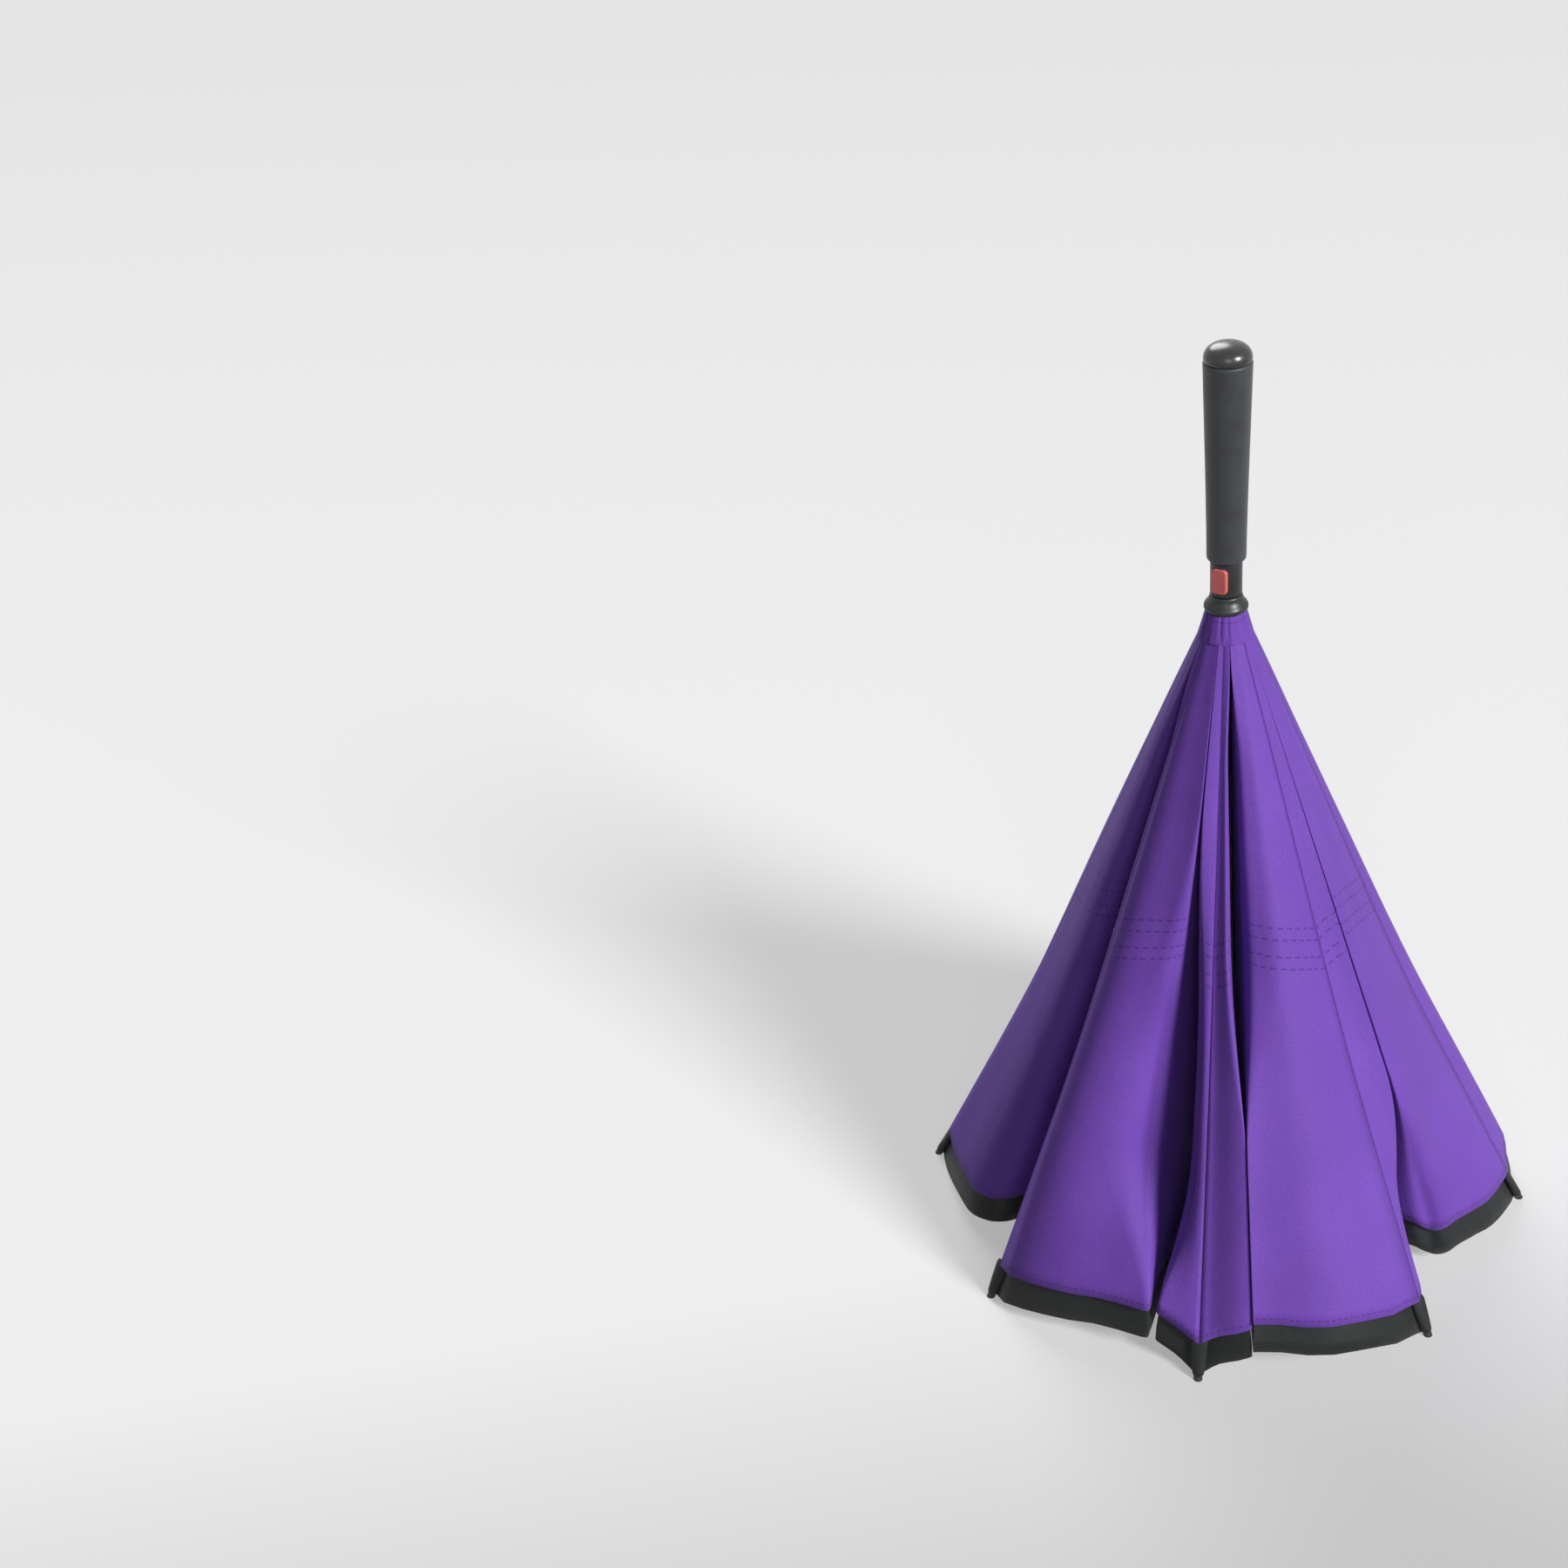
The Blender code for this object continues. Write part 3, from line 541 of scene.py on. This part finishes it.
class HalfGore:
    """The cloth between a rib and the valley on one side of it, +1 towards the next rib.

    A place on it is an angle from the rib and a distance from the apex of its rays.
    """

    def __init__(self, index, side):
        gore = index if side > 0 else index - 1
        first, second, fold, valley, across_slit, inward = gore_lines(gore % RIB_COUNT)
        turn = (gore - gore % RIB_COUNT) * PITCH
        self.index, self.side, self.gore = index, side, gore % RIB_COUNT
        shares = first if side > 0 else second
        self.corner = corner_line(index, RIB_REST, shares, side)
        self.valley = spin(valley, turn)
        self.to_rib = spin(across_slit, turn) * side
        self.inward = spin(inward, turn)
        self.across = math.acos(shares[0])
        self.fold = fold
        self.whole = math.acos(first[0]) + math.acos(second[0]) + 2 * fold
        self.along, _, self.outward = rib_axes(index)
        self.apex = apex(index)
        self.slit = (self.apex + apex(index + side)) / 2
        self.slack = SLACK[(self.gore, side)]
        self.drop = -float(unit(self.corner - (self.corner @ self.along) * self.along) @ self.outward)

    def corner_share(self, angle):
        """0 at the rib, 1 at the corner and 0 again at the valley line."""
        if angle < self.across:
            return angle / self.across
        return 1 - (angle - self.across) / self.fold

    def hem(self, angle, border):
        """Distance of the hem, with the cloth's sag between two ribs and its slack by the valley."""
        middle = (1 - (2 * angle / self.whole - 1) ** 2) ** HEM_SAG_POWER
        share = self.corner_share(angle)
        slack = (WIDE_HANGS if self.across > WIDE_STRIP else NARROW_HANGS) * share * share
        return HEM_REACH * (1 - HEM_SAG_SHARE * middle) - border + slack

    def corner_reach(self, angle, border):
        """How much further the hem runs down beside a rib."""
        reach = PURPLE_REACH if border else BLACK_REACH
        return reach * math.exp(-(angle / (REACH_WIDTH * self.across)) ** 2)

    def wavy_hem(self, angle, border):
        """Distance of the hem as the mesh has it, with small waves and its reach beside the rib."""
        at = Vector((angle * HEM_WAVE_SCALE + self.gore, HEM_WAVE_ROW, 0.0))
        wave = (HEM_WAVE * noise.noise(at) - HEM_WAVE_SHIFT) * min(1.0, angle / HEM_WAVE_START)
        return self.hem(angle, border) + wave + self.corner_reach(angle, border)

    def growth(self, distance):
        """How deep the fold is at a distance, as a share of its full depth."""
        return min(1.0, max(LEAST_GROWTH, (distance - GROWTH_START) / GROWTH_LENGTH))

    def openness(self, distance):
        """How far the valley is open at a distance from the apex, 0 to 1."""
        keys = SLIT_OPEN.get(self.gore, ALWAYS_OPEN)
        value = keys[0][1]
        for (first, low), (second, high) in zip(keys, keys[1:]):
            value += (high - low) * smooth((distance - first) / (second - first))
        return value * smooth((distance - VALLEY_START) / VALLEY_LENGTH)

    def lips(self, distance):
        """Angles before and after the corner over which the cloth turns into the valley."""
        openness = self.openness(distance)
        outer = self.across * self.slack.lip * openness
        return max(LEAST_LIP, outer), max(LEAST_LIP_IN, self.slack.lip_in * openness)

    def angles(self, distance):
        """The angles of a row of points: on the strip, round the lip and down the fold."""
        lip, lip_in = self.lips(distance)
        flat, turned_in = self.across - lip, self.across + lip_in
        cells = max(FEWEST_CELLS, round(self.across * (1 - self.slack.lip) / CELL_ANGLE))
        strip = even_steps(0.0, flat - LIP_EDGE, cells) + [flat]
        around = even_steps(flat, turned_in, LIP_CELLS)[1:]
        return strip + around + even_steps(turned_in, self.across + self.fold, FOLD_CELLS)[1:]

    def ray(self, angle, distance):
        """Direction at an angle from the rib, with the corner rounded off between two angles."""
        grown = self.growth(distance)
        lip, lip_in = self.lips(distance)

        def fold_ray(share):
            return slerp(self.corner, self.valley, share * grown)

        if angle <= self.across - lip:
            return slerp(self.along, self.corner, angle / self.across)
        if angle >= self.across + lip_in:
            return fold_ray((angle - self.across) / self.fold)
        start = slerp(self.along, self.corner, 1 - lip / self.across)
        end = fold_ray(lip_in / self.fold)
        t = (angle - self.across + lip) / (lip + lip_in)
        return (1 - t) ** 2 * start + 2 * t * (1 - t) * self.corner + t * t * end

    def crown(self, angle, distance):
        """How far the cloth stands out beside its rib, so that it runs over the rib smoothly."""
        away = distance * angle
        width = (CROWN_SHARE + CROWN_WIDER * self.across) * distance
        return away * self.drop * math.exp(-away / width)

    def relief(self, angle, distance):
        """How far slack cloth stands out, or in where negative."""
        slack = self.slack
        grown = (distance / HEM_DISTANCE) ** SLACK_POWER
        openness = self.openness(distance)
        sink = (slack.sink * openness - LIFT.get(self.gore, 0.0) * (1 - openness)) * grown
        if angle > self.across:
            return -sink * self.corner_share(angle) ** 2
        share = angle / self.across
        power = math.log(0.5) / math.log(slack.bulge_at)
        hump = math.sin(math.pi * share ** power) ** 2
        sideways = angle * SWELL_ACROSS + SWELL_STEP * self.gore
        at = Vector((sideways, distance * SWELL_DOWN, SWELL_DEPTH))
        shift = RIPPLE_SHIFT * noise.noise(RIPPLE_SHIFT_SCALE * at)
        waves = slack.ripple * math.sin(2 * math.pi * slack.ripples * share + shift)
        swell = (waves + SWELL_HEIGHT * noise.noise(at)) * math.sin(math.pi * share)
        return (slack.bulge * hump + swell) * grown - sink * smooth(share)

    def closing(self, angle, distance):
        """How far the cloth moves towards the slit's middle: back from it where the valley is open."""
        corner = self.apex + distance * self.corner
        wide = float((corner - self.slit) @ self.to_rib) + SLIT_GAP - LIP_HALF_GAP
        set_back = SET_BACK.get((self.gore, self.side), USUAL_SET_BACK)
        apart = set_back * (distance / HEM_DISTANCE) ** SET_BACK_POWER
        openness = self.openness(distance)
        return ((1 - openness) * wide - openness * apart) * self.corner_share(angle) ** 2

    def place(self, angle, distance, offset, gap=0.0):
        """The point at an angle and a distance, an offset outward and a gap back from the slit."""
        share = min(1.0, angle / self.across)
        left = self.corner_share(angle) if angle > self.across else 1.0
        out = self.relief(angle, distance)
        bent = bend_offset(distance - APEX_BEHIND_PIVOT) * (1 - share)
        shift = (bent + (offset + out) * (1 - share) + self.crown(angle, distance)) * self.outward
        shift = shift - (offset * left + out) * share * self.inward
        aside = (SLIT_GAP + gap) * share - self.closing(angle, distance)
        aside -= CLOSED_GAP_LOSS * gap * share * (1 - self.openness(distance))
        return self.apex + distance * self.ray(angle, distance) + shift + aside * self.to_rib

    def pattern(self, angle, distance):
        """Flat place in the gore's cut, from its own centre line."""
        from_first = angle if self.side > 0 else self.whole - angle
        off_centre = from_first - self.whole / 2
        return distance * math.sin(off_centre), distance * math.cos(off_centre)


# The sheets: where each canopy starts, how far the purple hem stays above the black one, how far
# each lies off the ribs' line, purple outside and black inside, and how the black cloth's gap
# from the purple at the slits closes by its hem
PURPLE_START, BLACK_START = 0.0245, 0.292
PURPLE_BORDER = 0.024
PURPLE_OFFSET, BLACK_OFFSET = 0.0023, 0.0033
BLACK_GAP = 0.002
GAPLESS_HEM, GAP_GROWTH = 0.015, 0.012
CLOTH_THICKNESS = 0.0006


def grid_mesh(name, points, patterns, material, flip, edges=None):
    """A mesh from a grid of points, with its flat pattern and its distances from its edges as UVs."""
    rows, columns = len(points), len(points[0])
    faces = []
    for i in range(rows - 1):
        for j in range(columns - 1):
            a = i * columns + j
            face = (a, a + 1, a + columns + 1, a + columns)
            faces.append(face[::-1] if flip else face)
    mesh = bpy.data.meshes.new(name)
    mesh.from_pydata([tuple(p) for row in points for p in row], [], faces)
    for word, rows_of in (("pattern", patterns), ("edge", edges or patterns)):
        flat = [uv for row in rows_of for uv in row]
        layer = mesh.uv_layers.new(name=word)
        for loop in mesh.loops:
            layer.data[loop.index].uv = flat[loop.vertex_index]
    mesh.shade_smooth()
    mesh.materials.append(material)
    made = bpy.data.objects.new(name, mesh)
    bpy.context.scene.collection.objects.link(made)
    return made


def half_piece(name, half, material, start, border, offset, gap=0.0, rows=52):
    """One half gore as a mesh; it is an offset outward and, but for its hem, a gap off the slit."""
    points, patterns, edges = [], [], []
    for i in range(rows + 1):
        row, flat, edge = [], [], []
        for angle in half.angles(start + (half.hem(0.0, border) - start) * i / rows):
            end = half.wavy_hem(angle, border)
            distance = start + (end - start) * i / rows
            inner_gap = gap * smooth((end - distance - GAPLESS_HEM) / GAP_GROWTH)
            row.append(half.place(angle, distance, offset, inner_gap))
            flat.append(half.pattern(angle, distance))
            edge.append((angle * distance, end - distance))
        points.append(row)
        patterns.append(flat)
        edges.append(edge)
    return grid_mesh(name, points, patterns, material, half.side > 0, edges)


def cloth_area(half, start, border):
    """Flat area of a half gore."""
    total = 0.0
    angles = even_steps(0.0, half.across + half.fold, 24)
    for low, high in zip(angles, angles[1:]):
        reach = half.hem((low + high) / 2, border)
        total += (high - low) * (reach ** 2 - start ** 2) / 2
    return total


def declare(half, start, border):
    """Works out a half gore's reach and flat area; nothing is done with them."""
    reach = half.hem(0.0, border)
    area = cloth_area(half, start, border)


def hang(piece):
    """Bakes a half gore's placement into its mesh."""
    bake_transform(piece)


def thicken(piece, thickness):
    """Gives a sheet its thickness, half on each side."""
    solid = piece.modifiers.new("thickness", "SOLIDIFY")
    solid.thickness = thickness
    solid.offset = 0.0


def make_canopies():
    """Sixteen purple and sixteen black half gores, a pocket round each tip and the gathered top."""
    purple, black = purple_cloth(), black_cloth()
    for index in range(RIB_COUNT):
        number = index + 1
        for side, word in ((1, "after"), (-1, "before")):
            half = HalfGore(index, side)
            piece = half_piece(
                f"purple_half_{word}_{number}", half, purple, PURPLE_START, PURPLE_BORDER, PURPLE_OFFSET
            )
            hang(piece)
            declare(half, PURPLE_START, PURPLE_BORDER)
            thicken(piece, CLOTH_THICKNESS)
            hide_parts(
                f"inner_canopy_panel_{number}", f"inner_canopy_fold_{word}_rib_{number}"
            )
            lining = half_piece(
                f"black_half_{word}_{number}", half, black, BLACK_START, 0.0, -BLACK_OFFSET,
                gap=BLACK_GAP, rows=30,
            )
            hang(lining)
            declare(half, BLACK_START, 0.0)
            thicken(lining, CLOTH_THICKNESS)
            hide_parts("outer_canopy")
        make_pocket(index, black)
    make_gather(purple)


# A tip's pocket: half its width and thickness, how these change towards the tip, and how much
# smaller the first and last rows are
POCKET_START, POCKET_END = 0.566, TIP_END - 0.0020
POCKET_HALF_WIDTH, POCKET_NARROWS = 0.0066, 0.0024
POCKET_HALF_THICK, POCKET_THICKENS = 0.0021, 0.0016
POCKET_FULLY_THICK = 0.9
POCKET_END_INSETS = (0.0010, 0.0006)


def make_pocket(index, material):
    """The black corner that is sewn round a rib's tip."""
    along, sideways, outward = rib_axes(index)
    start, end, rows, sides = POCKET_START, POCKET_END, 12, 24
    points, patterns = [], []
    for i in range(rows + 1):
        t = i / rows
        distance = start + (end - start) * t
        wide = POCKET_HALF_WIDTH - POCKET_NARROWS * t ** 2
        thick = POCKET_HALF_THICK + POCKET_THICKENS * min(1.0, t / POCKET_FULLY_THICK)
        if i in (0, rows):
            wide -= POCKET_END_INSETS[0]
            thick -= POCKET_END_INSETS[1]
        middle = rib_pivot(index) + distance * along + bend_offset(distance) * outward
        row, flat = [], []
        for k in range(sides + 1):
            turn = 2 * math.pi * k / sides
            row.append(middle + wide * math.cos(turn) * sideways + thick * math.sin(turn) * outward)
            flat.append((wide * turn, distance))
        points.append(row)
        patterns.append(flat)
    pocket = grid_mesh(f"tip_pocket_{index + 1}", points, patterns, material, False)
    join_seam(pocket, closed=True)
    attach(pocket, f"rib_arm_{index + 1}")


def join_seam(made, closed):
    """Joins the two edges of a rolled grid, and fills its ends where it is a closed body."""
    bm = bmesh.new()
    bm.from_mesh(made.data)
    bmesh.ops.remove_doubles(bm, verts=bm.verts, dist=1e-6)
    if closed:
        edges = [edge for edge in bm.edges if edge.is_boundary]
        bmesh.ops.holes_fill(bm, edges=edges)
        bmesh.ops.recalc_face_normals(bm, faces=bm.faces)
    bm.to_mesh(made.data)
    bm.free()


# The gathered top, a cone with a pleat over each slit, fine creases and a wavy foot
GATHER_TOP, GATHER_FOOT = 0.5554, 0.5335
GATHER_TOP_RADIUS, GATHER_FOOT_RADIUS = 0.0153, 0.0211
GATHER_CUT_RADIUS = 0.026
PLEAT_DEPTH, PLEAT_DEEPENS = 0.0009, 0.0001
PLEAT_WIDTH, PLEAT_VARIES, PLEAT_STEP = 0.07, 0.02, 3.1
CREASE_DEPTH = 0.0007
CREASE_SCALE, CREASE_SCALE_DOWN = 4.2, 0.35
FOOT_WAVE, FOOT_WAVE_SCALE, FOOT_WAVE_DEPTH = 0.0008, 3, 5.0
GATHER_THICKNESS = 0.0004


def noise_round(azimuth, radius, depth):
    """Noise on a circle, so that it meets itself after one turn."""
    return noise.noise(Vector((radius * math.cos(azimuth), radius * math.sin(azimuth), depth)))


def pleat(azimuth, share):
    """How far the gathered cloth goes in at an azimuth, from its top, 0, to its foot, 1."""
    depth = 0.0
    for gore in range(RIB_COUNT):
        slit = rib_azimuth(gore) + SLIT_SHARES[gore] * PITCH
        off = math.atan2(math.sin(azimuth - slit), math.cos(azimuth - slit))
        width = PLEAT_WIDTH + PLEAT_VARIES * math.sin(PLEAT_STEP * gore)
        depth += (PLEAT_DEPTH + PLEAT_DEEPENS * share) * math.exp(-(off / width) ** 2)
    crease = noise_round(azimuth, CREASE_SCALE, CREASE_SCALE_DOWN * share)
    return depth + CREASE_DEPTH * crease * (0.5 + 0.5 * share)


def make_gather(material):
    """The purple cloth gathered under the collar."""
    rows, sides = 22, 192
    points, patterns = [], []
    for i in range(rows + 1):
        share = i / rows
        height = GATHER_TOP + (GATHER_FOOT - GATHER_TOP) * share
        base = GATHER_TOP_RADIUS + (GATHER_FOOT_RADIUS - GATHER_TOP_RADIUS) * share
        row, flat = [], []
        for k in range(sides + 1):
            azimuth = 2 * math.pi * (k % sides) / sides
            foot = FOOT_WAVE * noise_round(azimuth, FOOT_WAVE_SCALE, FOOT_WAVE_DEPTH)
            row.append((base - pleat(azimuth, share)) * radial(azimuth) + (height + foot * share) * UP)
            flat.append((GATHER_CUT_RADIUS * 2 * math.pi * k / sides, GATHER_TOP - height))
        points.append(row)
        patterns.append(flat)
    gather = grid_mesh("gathered_top", points, patterns, material, True)
    join_seam(gather, closed=False)
    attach(gather, "runner")
    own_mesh(gather)
    thicken(gather, GATHER_THICKNESS)


# Floor, backdrop and light

FLOOR_HALF = 14.0
BACKDROP = rgb(230, 230, 230)

# Painted shade: the floor's grey grows paler from near to mid, along a line that leans to the right,
# so the front and the right lie in painted shade; then it takes on the backdrop's grey between two
# places further back
FLOOR_LEAN = 0.30
FLOOR_NEAR, FLOOR_MID = -0.62, -0.05
FLOOR_FADES, FLOOR_FADED = 0.4, 3.4
FLOOR_GLOW = 0.45

# Each lamp's azimuth, elevation and spread in degrees, and its strength
LAMPS = {
    "key": (54, 30, 18, 3.6),
    "front_fill": (4, 26, 30, 0.42),
    "back": (-160, 36, 34, 1.5),
}
WORLD_STRENGTH = 0.05


def make_floor():
    """A pale floor with painted shade that goes a little darker towards the front and the right."""
    n = Nodes("studio_floor")
    parts = n.add("ShaderNodeSeparateXYZ", {0: n.place()})
    x, y = parts.outputs[0], parts.outputs[1]
    front = n.math("SUBTRACT", y, n.math("MULTIPLY", x, FLOOR_LEAN))
    # Painted shade: the floor's grey darkens towards the front and the right
    near = n.mix(n.span(front, FLOOR_NEAR, FLOOR_MID), rgb(197, 197, 197), rgb(241, 241, 241))
    colour = n.mix(n.span(y, FLOOR_FADES, FLOOR_FADED), near, BACKDROP)
    path = n.add("ShaderNodeLightPath")
    seen = n.math("MAXIMUM", path.outputs["Is Camera Ray"], path.outputs["Is Glossy Ray"])
    seen = n.math("MAXIMUM", seen, path.outputs["Is Transmission Ray"])
    own = n.mix(seen, rgb(128, 128, 128), colour)
    n.shader.inputs["Specular IOR Level"].default_value = 0.1
    material = n.finish(Base_Color=own, Roughness=0.9)
    # The camera sees part of the floor as a glow in the same colour, painted shade included
    glow = n.add("ShaderNodeEmission", {"Color": colour, "Strength": 1.0})
    share = n.math("MULTIPLY", seen, FLOOR_GLOW)
    mixed = n.add("ShaderNodeMixShader", {0: share, 1: n.shader.outputs[0], 2: glow.outputs[0]})
    n.put(n.tree.nodes["Material Output"].inputs["Surface"], mixed.outputs[0])
    mesh = bpy.data.meshes.new("studio_floor")
    corners = [(x * FLOOR_HALF, y * FLOOR_HALF, 0) for x, y in ((-1, -1), (1, -1), (1, 1), (-1, 1))]
    mesh.from_pydata(corners, [], [(0, 1, 2, 3)])
    mesh.materials.append(material)
    floor = bpy.data.objects.new("studio_floor", mesh)
    bpy.context.scene.collection.objects.link(floor)


def sun(name, azimuth_deg, elevation_deg, spread_deg, strength):
    """A soft distant lamp; azimuth runs from the front, -Y, towards +X."""
    data = bpy.data.lights.new(name, "SUN")
    data.angle = math.radians(spread_deg)
    data.energy = strength
    lamp = bpy.data.objects.new(name, data)
    azimuth, up = math.radians(azimuth_deg), math.radians(elevation_deg)
    back = Vector((math.sin(azimuth) * math.cos(up), -math.cos(azimuth) * math.cos(up), math.sin(up)))
    lamp.location = 3 * back
    lamp.rotation_mode = "QUATERNION"
    lamp.rotation_quaternion = (-back).to_track_quat("-Z", "Y")
    bpy.context.scene.collection.objects.link(lamp)


def make_light():
    """The lamps, and a pale world that lights little but is seen as the backdrop."""
    for name, values in LAMPS.items():
        sun(name, *values)
    world = bpy.data.worlds.new("studio")
    bpy.context.scene.world = world
    world.use_nodes = True
    tree = world.node_tree
    plain = tree.nodes["Background"]
    plain.inputs["Color"].default_value = (1, 1, 1, 1)
    plain.inputs["Strength"].default_value = WORLD_STRENGTH
    seen = tree.nodes.new("ShaderNodeBackground")
    seen.inputs["Color"].default_value = BACKDROP
    seen.inputs["Strength"].default_value = 1.0
    path = tree.nodes.new("ShaderNodeLightPath")
    both = tree.nodes.new("ShaderNodeMath")
    both.operation = "MAXIMUM"
    tree.links.new(path.outputs["Is Camera Ray"], both.inputs[0])
    tree.links.new(path.outputs["Is Glossy Ray"], both.inputs[1])
    mixed = tree.nodes.new("ShaderNodeMixShader")
    tree.links.new(both.outputs[0], mixed.inputs[0])
    tree.links.new(plain.outputs[0], mixed.inputs[1])
    tree.links.new(seen.outputs[0], mixed.inputs[2])
    tree.links.new(mixed.outputs[0], tree.nodes["World Output"].inputs["Surface"])


# Turned pieces: the grip, its domed end and the collar

# The grip's radii at its foot and top, how it flares between them as shares of its height and of
# the widening, and its rounded edges by how far in and how far from its end each point is
GRIP_FOOT_RADIUS, GRIP_TOP_RADIUS = 0.0148, 0.0180
GRIP_FLARE = ((0.12, 0.06), (0.3, 0.2), (0.5, 0.42), (0.7, 0.66), (0.88, 0.88))
GRIP_FOOT_EDGE = ((0.0018, 0.0), (0.0009, 0.0004), (0.0002, 0.0012))
GRIP_TOP_EDGE = ((0.0003, 0.0004), (0.0010, 0.0))
GRIP_FOOT_HOLE, GRIP_TOP_HOLE = 0.0108, 0.0140
GRIP_STRAIGHT_FOOT, GRIP_STRAIGHT_TOP = 0.0028, 0.0012

# The domed end: its rounded foot, the share of its height where its curve starts, and the two
# powers of the curve
DOME_FOOT_HOLE = 0.0120
DOME_FOOT_EDGE = ((0.0012, 0.0), (0.0006, 0.0004), (0.0004, 0.0010))
DOME_INSET = 0.0001
DOME_STEPS, DOME_CURVE_START = 28, 0.12
DOME_POWERS = (2.6, 0.43)
DOME_TIP_RADIUS = 0.0008

# The collar: its bell, as (radius, height above its base), and its neck, as (radius, depth below
# its top)
COLLAR_FOOT_RADIUS = 0.0152
COLLAR_BELL = (
    (0.0160, 0.0002), (0.0166, 0.0007), (0.0168, 0.0018), (0.0166, 0.0032),
    (0.0158, 0.0046), (0.0143, 0.0066), (0.0131, 0.0088),
)
COLLAR_NECK = ((0.0125, 0.0012), (0.0121, 0.0004), (0.0115, 0.0))


def curve_point(a, b, c, d, t):
    """A point on a smooth curve from b to c, which comes from a and goes on to d."""
    return tuple(
        0.5 * (
            2 * q + (r - p) * t + (2 * p - 5 * q + 4 * r - w) * t * t
            + (3 * q - p - 3 * r + w) * t ** 3
        )
        for p, q, r, w in zip(a, b, c, d)
    )


def smooth_profile(points, steps):
    """A smooth curve through points of (radius, height)."""
    ends = [points[0]] + list(points) + [points[-1]]
    found = []
    for a, b, c, d in zip(ends, ends[1:], ends[2:], ends[3:]):
        found += [curve_point(a, b, c, d, k / steps) for k in range(steps)]
    return found + [points[-1]]


def turned(name, profile, material, body, slot, *nodes, sides=96):
    """A body of revolution about the shaft, from a profile that is filled in or runs round."""
    turns = [2 * math.pi * k / sides for k in range(sides + 1)]
    outs = [radial(turn) for turn in turns[:-1]] + [radial(0.0)]
    points = [[radius * out + height * UP for out in outs] for radius, height in profile]
    patterns = [[(radius * turn, height) for turn in turns] for radius, height in profile]
    made = grid_mesh(name, points, patterns, material, True)
    join_seam(made, closed=True)
    made.data.shade_smooth()
    made.data.set_sharp_from_angle(angle=math.radians(50))
    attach(made, body)
    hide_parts(*nodes)


def heights(name):
    """Bottom and top of one of the solids."""
    low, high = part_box(name)
    return low[2], high[2]


def make_grip(look):
    foot, top = heights("handle_grip")
    small, wide = GRIP_FOOT_RADIUS, GRIP_TOP_RADIUS
    start = [(GRIP_FOOT_HOLE, foot)]
    start += [(small - inset, foot + rise) for inset, rise in GRIP_FOOT_EDGE]
    sides = [(small, foot + GRIP_STRAIGHT_FOOT)]
    for height, widening in GRIP_FLARE:
        sides.append((small + (wide - small) * widening, foot + (top - foot) * height))
    sides.append((wide, top - GRIP_STRAIGHT_TOP))
    end = [(wide - inset, top - drop) for inset, drop in GRIP_TOP_EDGE] + [(GRIP_TOP_HOLE, top)]
    profile = start + smooth_profile(sides, 6) + end
    turned("grip_sleeve", profile, look, "frame", "grip_plastic", "handle_grip")


def make_dome(look):
    foot, top = heights("handle_end_cap")
    profile = [(DOME_FOOT_HOLE, foot)]
    profile += [(GRIP_TOP_RADIUS - inset, foot + rise) for inset, rise in DOME_FOOT_EDGE]
    for k in range(1, DOME_STEPS):
        share = DOME_CURVE_START + (1 - DOME_CURVE_START) * k / DOME_STEPS
        radius = (GRIP_TOP_RADIUS - DOME_INSET) * (1 - share ** DOME_POWERS[0]) ** DOME_POWERS[1]
        profile.append((radius, foot + (top - foot) * share))
    profile.append((DOME_TIP_RADIUS, top))
    turned("end_dome", profile, look, "frame", "end_cap_plastic", "handle_end_cap")


def make_collar(look):
    base, top = heights("runner_collar")
    bell = [(radius, base + height) for radius, height in COLLAR_BELL]
    neck = [(radius, top - depth) for radius, depth in COLLAR_NECK]
    outside = smooth_profile(bell + neck[:1], 4) + neck[1:]
    profile = [(SHAFT_BORE, base), (COLLAR_FOOT_RADIUS, base)] + outside
    profile += [(SHAFT_BORE, top), (SHAFT_BORE, base)]
    turned("collar_bell", profile, look, "runner", "black_plastic", "runner_collar")


def dress(names, material):
    for name in names:
        NODES[name].data.materials.clear()
        NODES[name].data.materials.append(material)


def dress_frame():
    """Puts a material on every solid that stays, and makes the turned pieces."""
    numbers = range(1, RIB_COUNT + 1)
    grip = moulded("grip_rubber", rgb(50, 51, 55), rgb(58, 60, 64), 0.46)
    cap = moulded("cap_plastic", rgb(30, 31, 33), rgb(38, 39, 41), 0.26, coat=0.4)
    black = moulded("black_moulding", rgb(26, 28, 29), rgb(34, 37, 38), 0.42)
    coral = moulded("coral_moulding", rgb(210, 100, 97), rgb(218, 110, 106), 0.4)
    fibre = moulded("rib_fibreglass", rgb(28, 29, 31), rgb(40, 41, 44), 0.38, 1400.0, 0.00006)
    tips = moulded("tip_moulding", rgb(26, 27, 28), rgb(36, 38, 39), 0.38)
    steel = drawn_metal("shaft_steel", rgb(120, 121, 124), rgb(138, 139, 142), 0.3)
    arms = drawn_metal("stretcher_steel", rgb(104, 105, 108), rgb(124, 125, 128), 0.36)
    make_grip(grip)
    make_dome(cap)
    make_collar(black)
    dress(["handle_grip"], grip)
    dress(["handle_end_cap"], cap)
    dress(["neck_housing", "crown_hub", "crown_cap", "runner", "runner_collar"], black)
    dress(["release_button"], coral)
    dress(["shaft"], steel)
    dress([f"rib_{k}" for k in numbers], fibre)
    dress([f"rib_tip_{k}" for k in numbers], tips)
    dress([f"stretcher_{k}" for k in numbers], arms)


make_camera()
make_floor()
make_light()
dress_frame()
make_canopies()

bpy.context.scene.view_settings.view_transform = "Standard"
